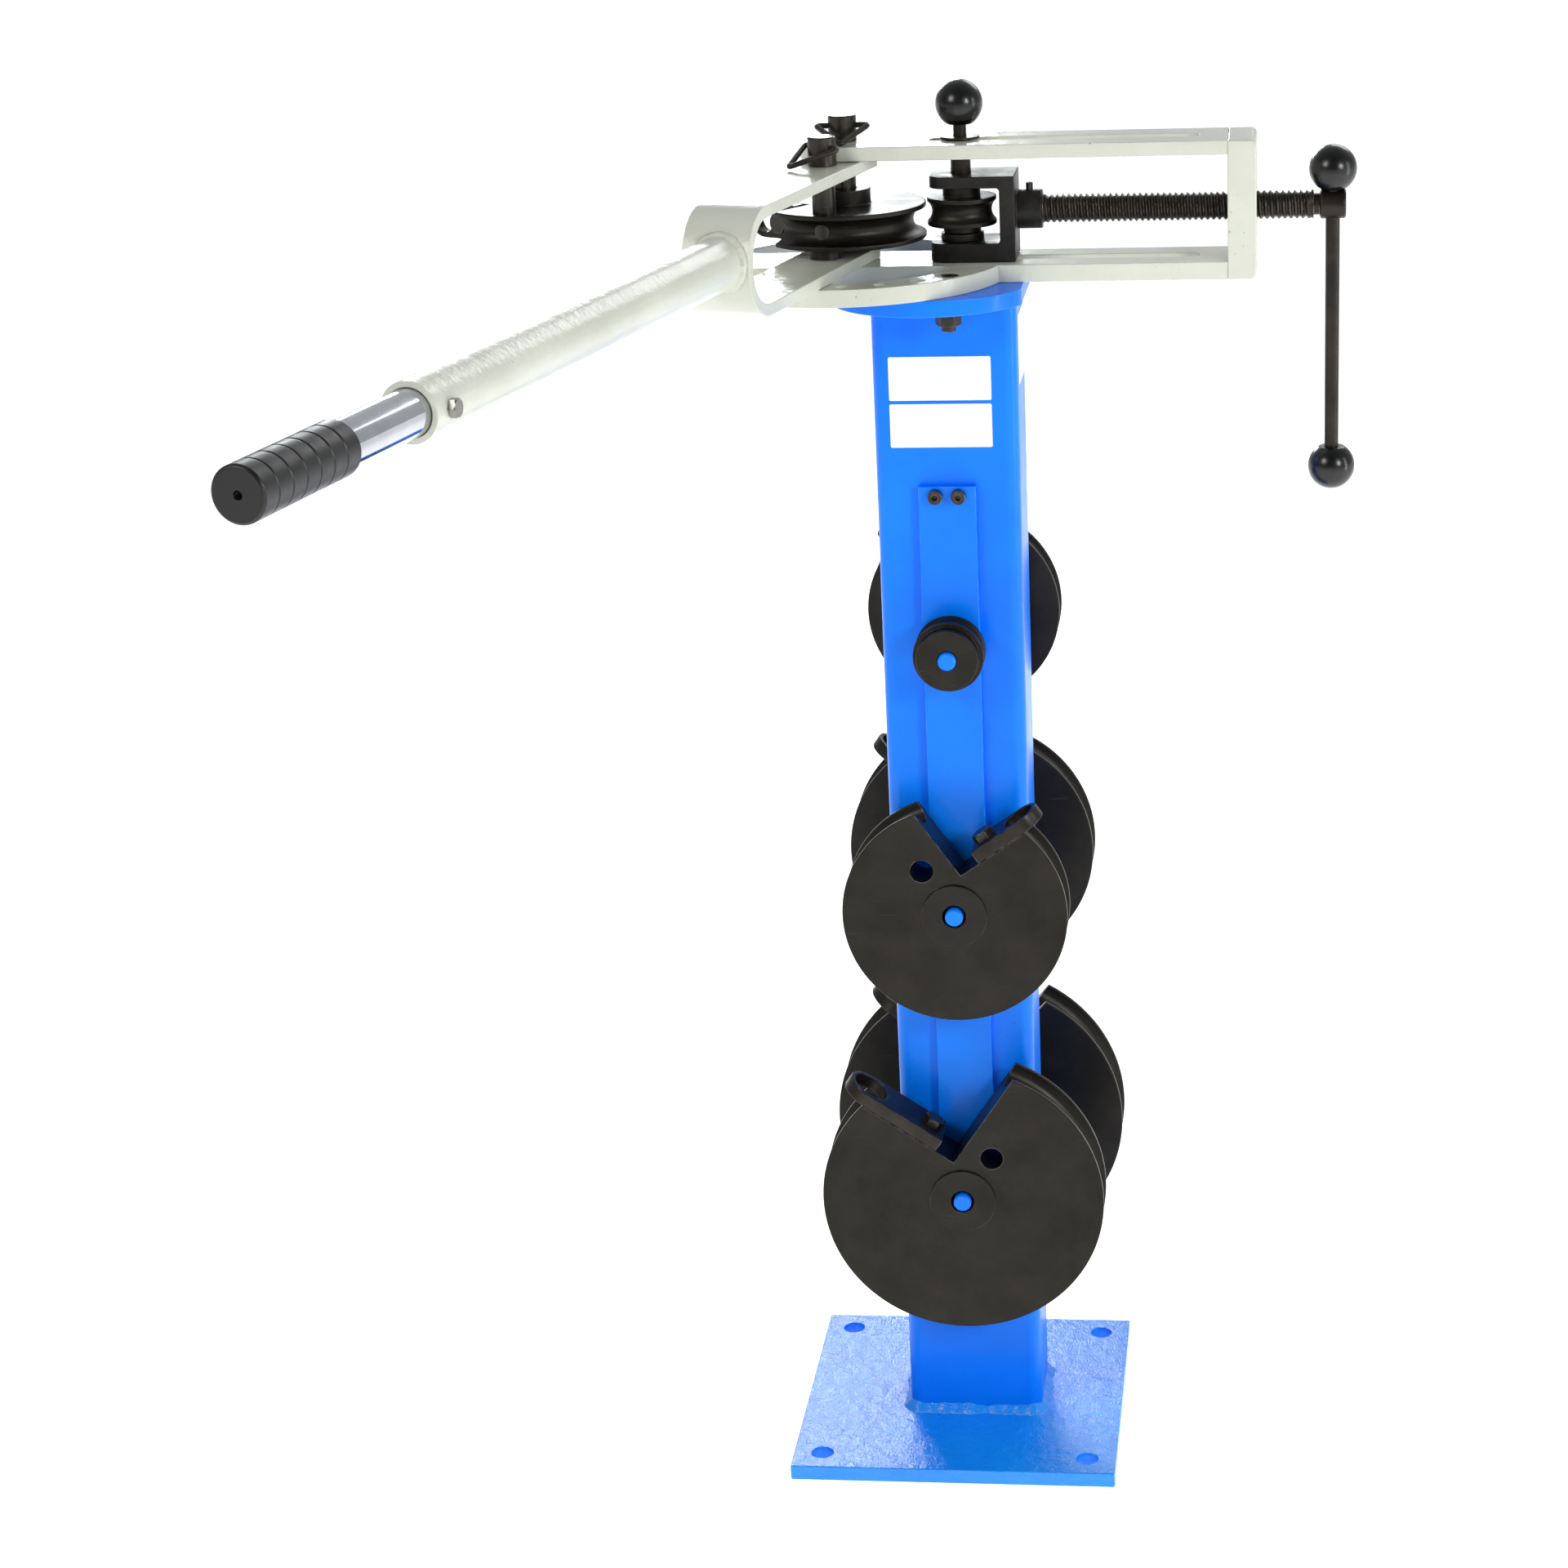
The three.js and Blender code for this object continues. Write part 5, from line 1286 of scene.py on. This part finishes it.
# Handle
def make_yoke():
    """A rounded flat section carried along a U in the handle's upright plane; towards the tail the
    half width shrinks by c - sqrt(c^2 - (c - s)^2) within the corner radius c of each end."""
    half_gap = (YOKE_TOP - YOKE_BOTTOM) / 2
    middle = (YOKE_TOP + YOKE_BOTTOM) / 2
    line_radius = YOKE_BEND - YOKE_THICKNESS / 2
    bend_x = YOKE_REACH - YOKE_BEND
    arm_height = half_gap - YOKE_THICKNESS / 2
    tail = np.concatenate([np.linspace(-YOKE_TAIL, YOKE_CORNER - YOKE_TAIL, 10), np.linspace(5, bend_x, 10)])
    lower = np.column_stack([tail, np.full(len(tail), -arm_height)])
    bend_low = arc((bend_x, -arm_height + line_radius), line_radius, -90, 0, 14)[1:]
    bend_high = arc((bend_x, arm_height - line_radius), line_radius, 0, 90, 14)[:-1]
    line = np.concatenate([lower, bend_low, bend_high, lower[::-1] * (1, -1)])
    step = np.linalg.norm(np.diff(line, axis=0), axis=1)
    gone = np.concatenate([[0], np.cumsum(step)])
    to_end = np.minimum(gone, gone[-1] - gone)
    inside = np.clip(YOKE_CORNER - to_end, 0, YOKE_CORNER)
    half = YOKE_HALF - (YOKE_CORNER - np.sqrt(YOKE_CORNER**2 - inside**2))
    along = np.gradient(line, axis=0)
    along /= np.linalg.norm(along, axis=1)[:, None]
    out = np.column_stack([along[:, 1], -along[:, 0]])
    edge = rounded_rectangle(1, YOKE_THICKNESS / 2, 0.9, 3)
    edge_side, edge_y = np.sign(edge[:, 0])[None], edge[:, 1]
    across = YOKE_SHIFT + edge_side * half[:, None] + (edge[:, 0] - edge_side)
    x = line[:, :1] + out[:, :1] * edge_y[None]
    z = line[:, 1:] + out[:, 1:] * edge_y[None] + middle
    shape = skin(np.stack([x, across, z], axis=-1))
    piece("yoke_coat", [shape], cream_enamel, "handle", "cream_paint", ["yoke"], HANDLE_PLACE)


def make_handle():
    """The yoke, the tube coped to its back, their weld, and the extension, grip and clamp bolt."""
    make_yoke()
    level = turned_place(HANDLE_PLACE, 0, 0, 0, HANDLE_LEVEL)
    sides = 72
    turn = np.linspace(0, 2 * pi, sides, endpoint=False)
    bend_x, lift = YOKE_REACH - YOKE_BEND, HANDLE_LEVEL - (YOKE_TOP + YOKE_BOTTOM) / 2

    def cope(radius):
        """Where a circle of the tube meets the yoke's round back: x = bend + sqrt(R^2 - height^2)."""
        height = radius * np.cos(turn) + lift
        beyond = np.maximum(np.abs(height) - 1, 0)
        return bend_x + np.sqrt((YOKE_BEND - 0.2) ** 2 - beyond**2)

    def around(radius, x):
        """A ring about the X axis: y = -r sin t, z = r cos t, with its own x for each t."""
        return np.stack(np.broadcast_arrays(x, -radius * np.sin(turn), radius * np.cos(turn)), axis=-1)

    rings = [
        around(HANDLE_RADIUS, cope(HANDLE_RADIUS)),
        around(HANDLE_RADIUS, HANDLE_END - 0.8),
        around(HANDLE_RADIUS - 0.25, HANDLE_END - 0.25),
        around(HANDLE_RADIUS - 0.8, HANDLE_END),
        around(HANDLE_BORE + 0.6, HANDLE_END),
        around(HANDLE_BORE, HANDLE_END - 0.6),
        around(HANDLE_BORE, cope(HANDLE_BORE)),
    ]
    tube = skin(rings, closed=True)
    piece("handle_tube_coat", [tube], cream_enamel, "handle", "cream_paint", ["handle_tube"], level)
    ripple = HANDLE_WELD * (1 + 0.08 * np.sin(31 * turn) + 0.05 * np.sin(12 * turn + 1))
    bead = [
        around(HANDLE_RADIUS + ripple * 0.9 * cos(side), cope(HANDLE_RADIUS) + 1 + ripple * 1.2 * sin(side))
        for side in np.linspace(0, 2 * pi, 9)[:-1]
    ]
    weld = skin_closed_both(np.stack(bead, axis=1))
    piece("yoke_weld", [weld], cream_enamel, "handle", "cream_paint", (), level)

    low, high = EXTENSION_START, GRIP_END - GRIP_CAP - 0.5
    inner, outer = EXTENSION_BORE, EXTENSION_RADIUS
    extension = along_x([(inner, low), (outer, low), (outer, high), (inner, high)])
    piece("extension_chromed", [extension], chrome, "extension", "chrome", ["extension_tube"], level)
    make_grip(level)
    seat = HANDLE_RADIUS + FIT
    bolt = turned(
        [
            (CLAMP_BOLT, HANDLE_BORE),
            (CLAMP_BOLT, seat),
            (CLAMP_HEAD, seat),
            (CLAMP_HEAD, seat + CLAMP_HEAD_HEIGHT - 1),
            (CLAMP_HEAD - 1, seat + CLAMP_HEAD_HEIGHT),
        ],
        HEX_ROUND,
        corners=[0, 0, 6, 6, 0],
    )
    bolt_place = tipped_place(turned_place(level, 0, CLAMP_AT), -90)
    piece("clamp_bolt_zinc", [bolt], zinc, "handle", "zinc", ["clamp_bolt"], bolt_place)


def make_grip(level):
    """A sleeve with grooves at even steps, closed at its outer end but for a small hole."""
    bore = EXTENSION_RADIUS + FIT
    step = (GRIP_END - GRIP_START) / (GRIP_GROOVES + 1)
    grooves = GRIP_START + step * np.arange(1, GRIP_GROOVES + 1)[:, None] + np.array([[-1, 0, 1]])
    radii = np.tile([GRIP_RADIUS, GRIP_RADIUS - GRIP_GROOVE_DEPTH, GRIP_RADIUS], GRIP_GROOVES)
    profile = np.concatenate(
        [
            [(bore, GRIP_START), (GRIP_RADIUS, GRIP_START)],
            np.column_stack([radii, grooves.ravel()]),
            [(GRIP_RADIUS, GRIP_END - GRIP_EDGE), (GRIP_RADIUS - GRIP_EDGE, GRIP_END)],
            [(GRIP_HOLE, GRIP_END), (GRIP_HOLE, GRIP_END - GRIP_CAP), (bore, GRIP_END - GRIP_CAP)],
        ]
    )
    points, faces = turned(profile, ROUND, 0.5, closed=True)
    sleeve = points[:, [2, 0, 1]], faces
    piece("grip_sleeve", [sleeve], grip_rubber, "extension", "rubber", ["grip"], level)


# Labels
FRONT_LABEL_ASIDE = -4
FRONT_LABEL_HALF = 44
SIDE_LABEL_HALF = 28
LABEL_CORNER = 1.5
LABEL_THICKNESS = 0.3


def make_labels():
    """Two plain white labels on the front of the column and one on its right side."""
    right_side = place((COLUMN_CENTRE[0] + COLUMN_SIZE[0] / 2, COLUMN_CENTRE[1], 0), (0, 1, 0), (1, 0, 0))
    labels = [
        ("label_upper", FRONT_FACE, FRONT_LABEL_ASIDE, FRONT_LABEL_HALF, 988, 1028),
        ("label_lower", FRONT_FACE, FRONT_LABEL_ASIDE, FRONT_LABEL_HALF, 947, 987),
        ("label_side", right_side, 0, SIDE_LABEL_HALF, 997, 1059),
    ]
    for name, face, across, half_width, low, high in labels:
        outline = rounded_rectangle(half_width, (high - low) / 2 - 1, LABEL_CORNER, 6)
        film = raised([outline], 0, LABEL_THICKNESS, 0.1)
        spot = turned_place(face, 0, across, (low + high) / 2)
        piece(name, [film], label_film, "stand", "cream_paint", (), spot)


place_camera()
light_studio()
make_stand()
make_frame()
roller_load = SPARE_ROLLER.hub_low + ROLLER_WIDTH + SPARE_ROLLER.hub_high
make_hanger("hanger_front", FRONT_FACE, (roller_load, load_of(FORMER_B), load_of(FORMER_D)))
make_hanger("hanger_back", BACK_FACE, (load_of(FORMER_A), load_of(FORMER_C), load_of(FORMER_E)))
make_formers()
make_spare_roller()
make_carriage()
make_knob()
make_screw()
make_pins()
make_handle()
make_labels()

floor_mesh = bpy.data.meshes.new("floor")
floor_edge = np.array([(-1, -1), (1, -1), (1, 1), (-1, 1)]) * FLOOR_REACH
floor_sides = [np.column_stack([floor_edge, np.full(4, level)]) for level in (-FLOOR_THICKNESS, 0)]
floor_points, floor_faces = skin(floor_sides)
floor_mesh.from_pydata((floor_points * MM).tolist(), [], floor_faces)
floor = bpy.data.objects.new("floor", floor_mesh)
floor_finish = Finish("floor_paper")
floor_finish.cover(floor_finish.mix(floor_finish.noise(2), colour(244, 244, 244), colour(250, 250, 250)))
floor_finish.set(Roughness=0.9, Emission_Color=(1, 1, 1, 1), Emission_Strength=0.8)
floor_mesh.materials.append(floor_finish.material)
bpy.context.scene.collection.objects.link(floor)
floor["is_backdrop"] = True

node_finishes = {
    "blue_paint": blue_enamel,
    "cream_paint": cream_enamel,
    "black_oxide": black_oxide,
    "dark_steel": dark_steel,
    "gloss_black": gloss_black,
    "chrome": chrome,
    "rubber": grip_rubber,
    "zinc": zinc,
}
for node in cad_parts.values():
    slot_name = node.data.materials[0].name.split(".")[0]
    node.data.materials.clear()
    node.data.materials.append(node_finishes.get(slot_name, black_oxide))

[[list(corner) for corner in box] for box in (cad_box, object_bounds())]
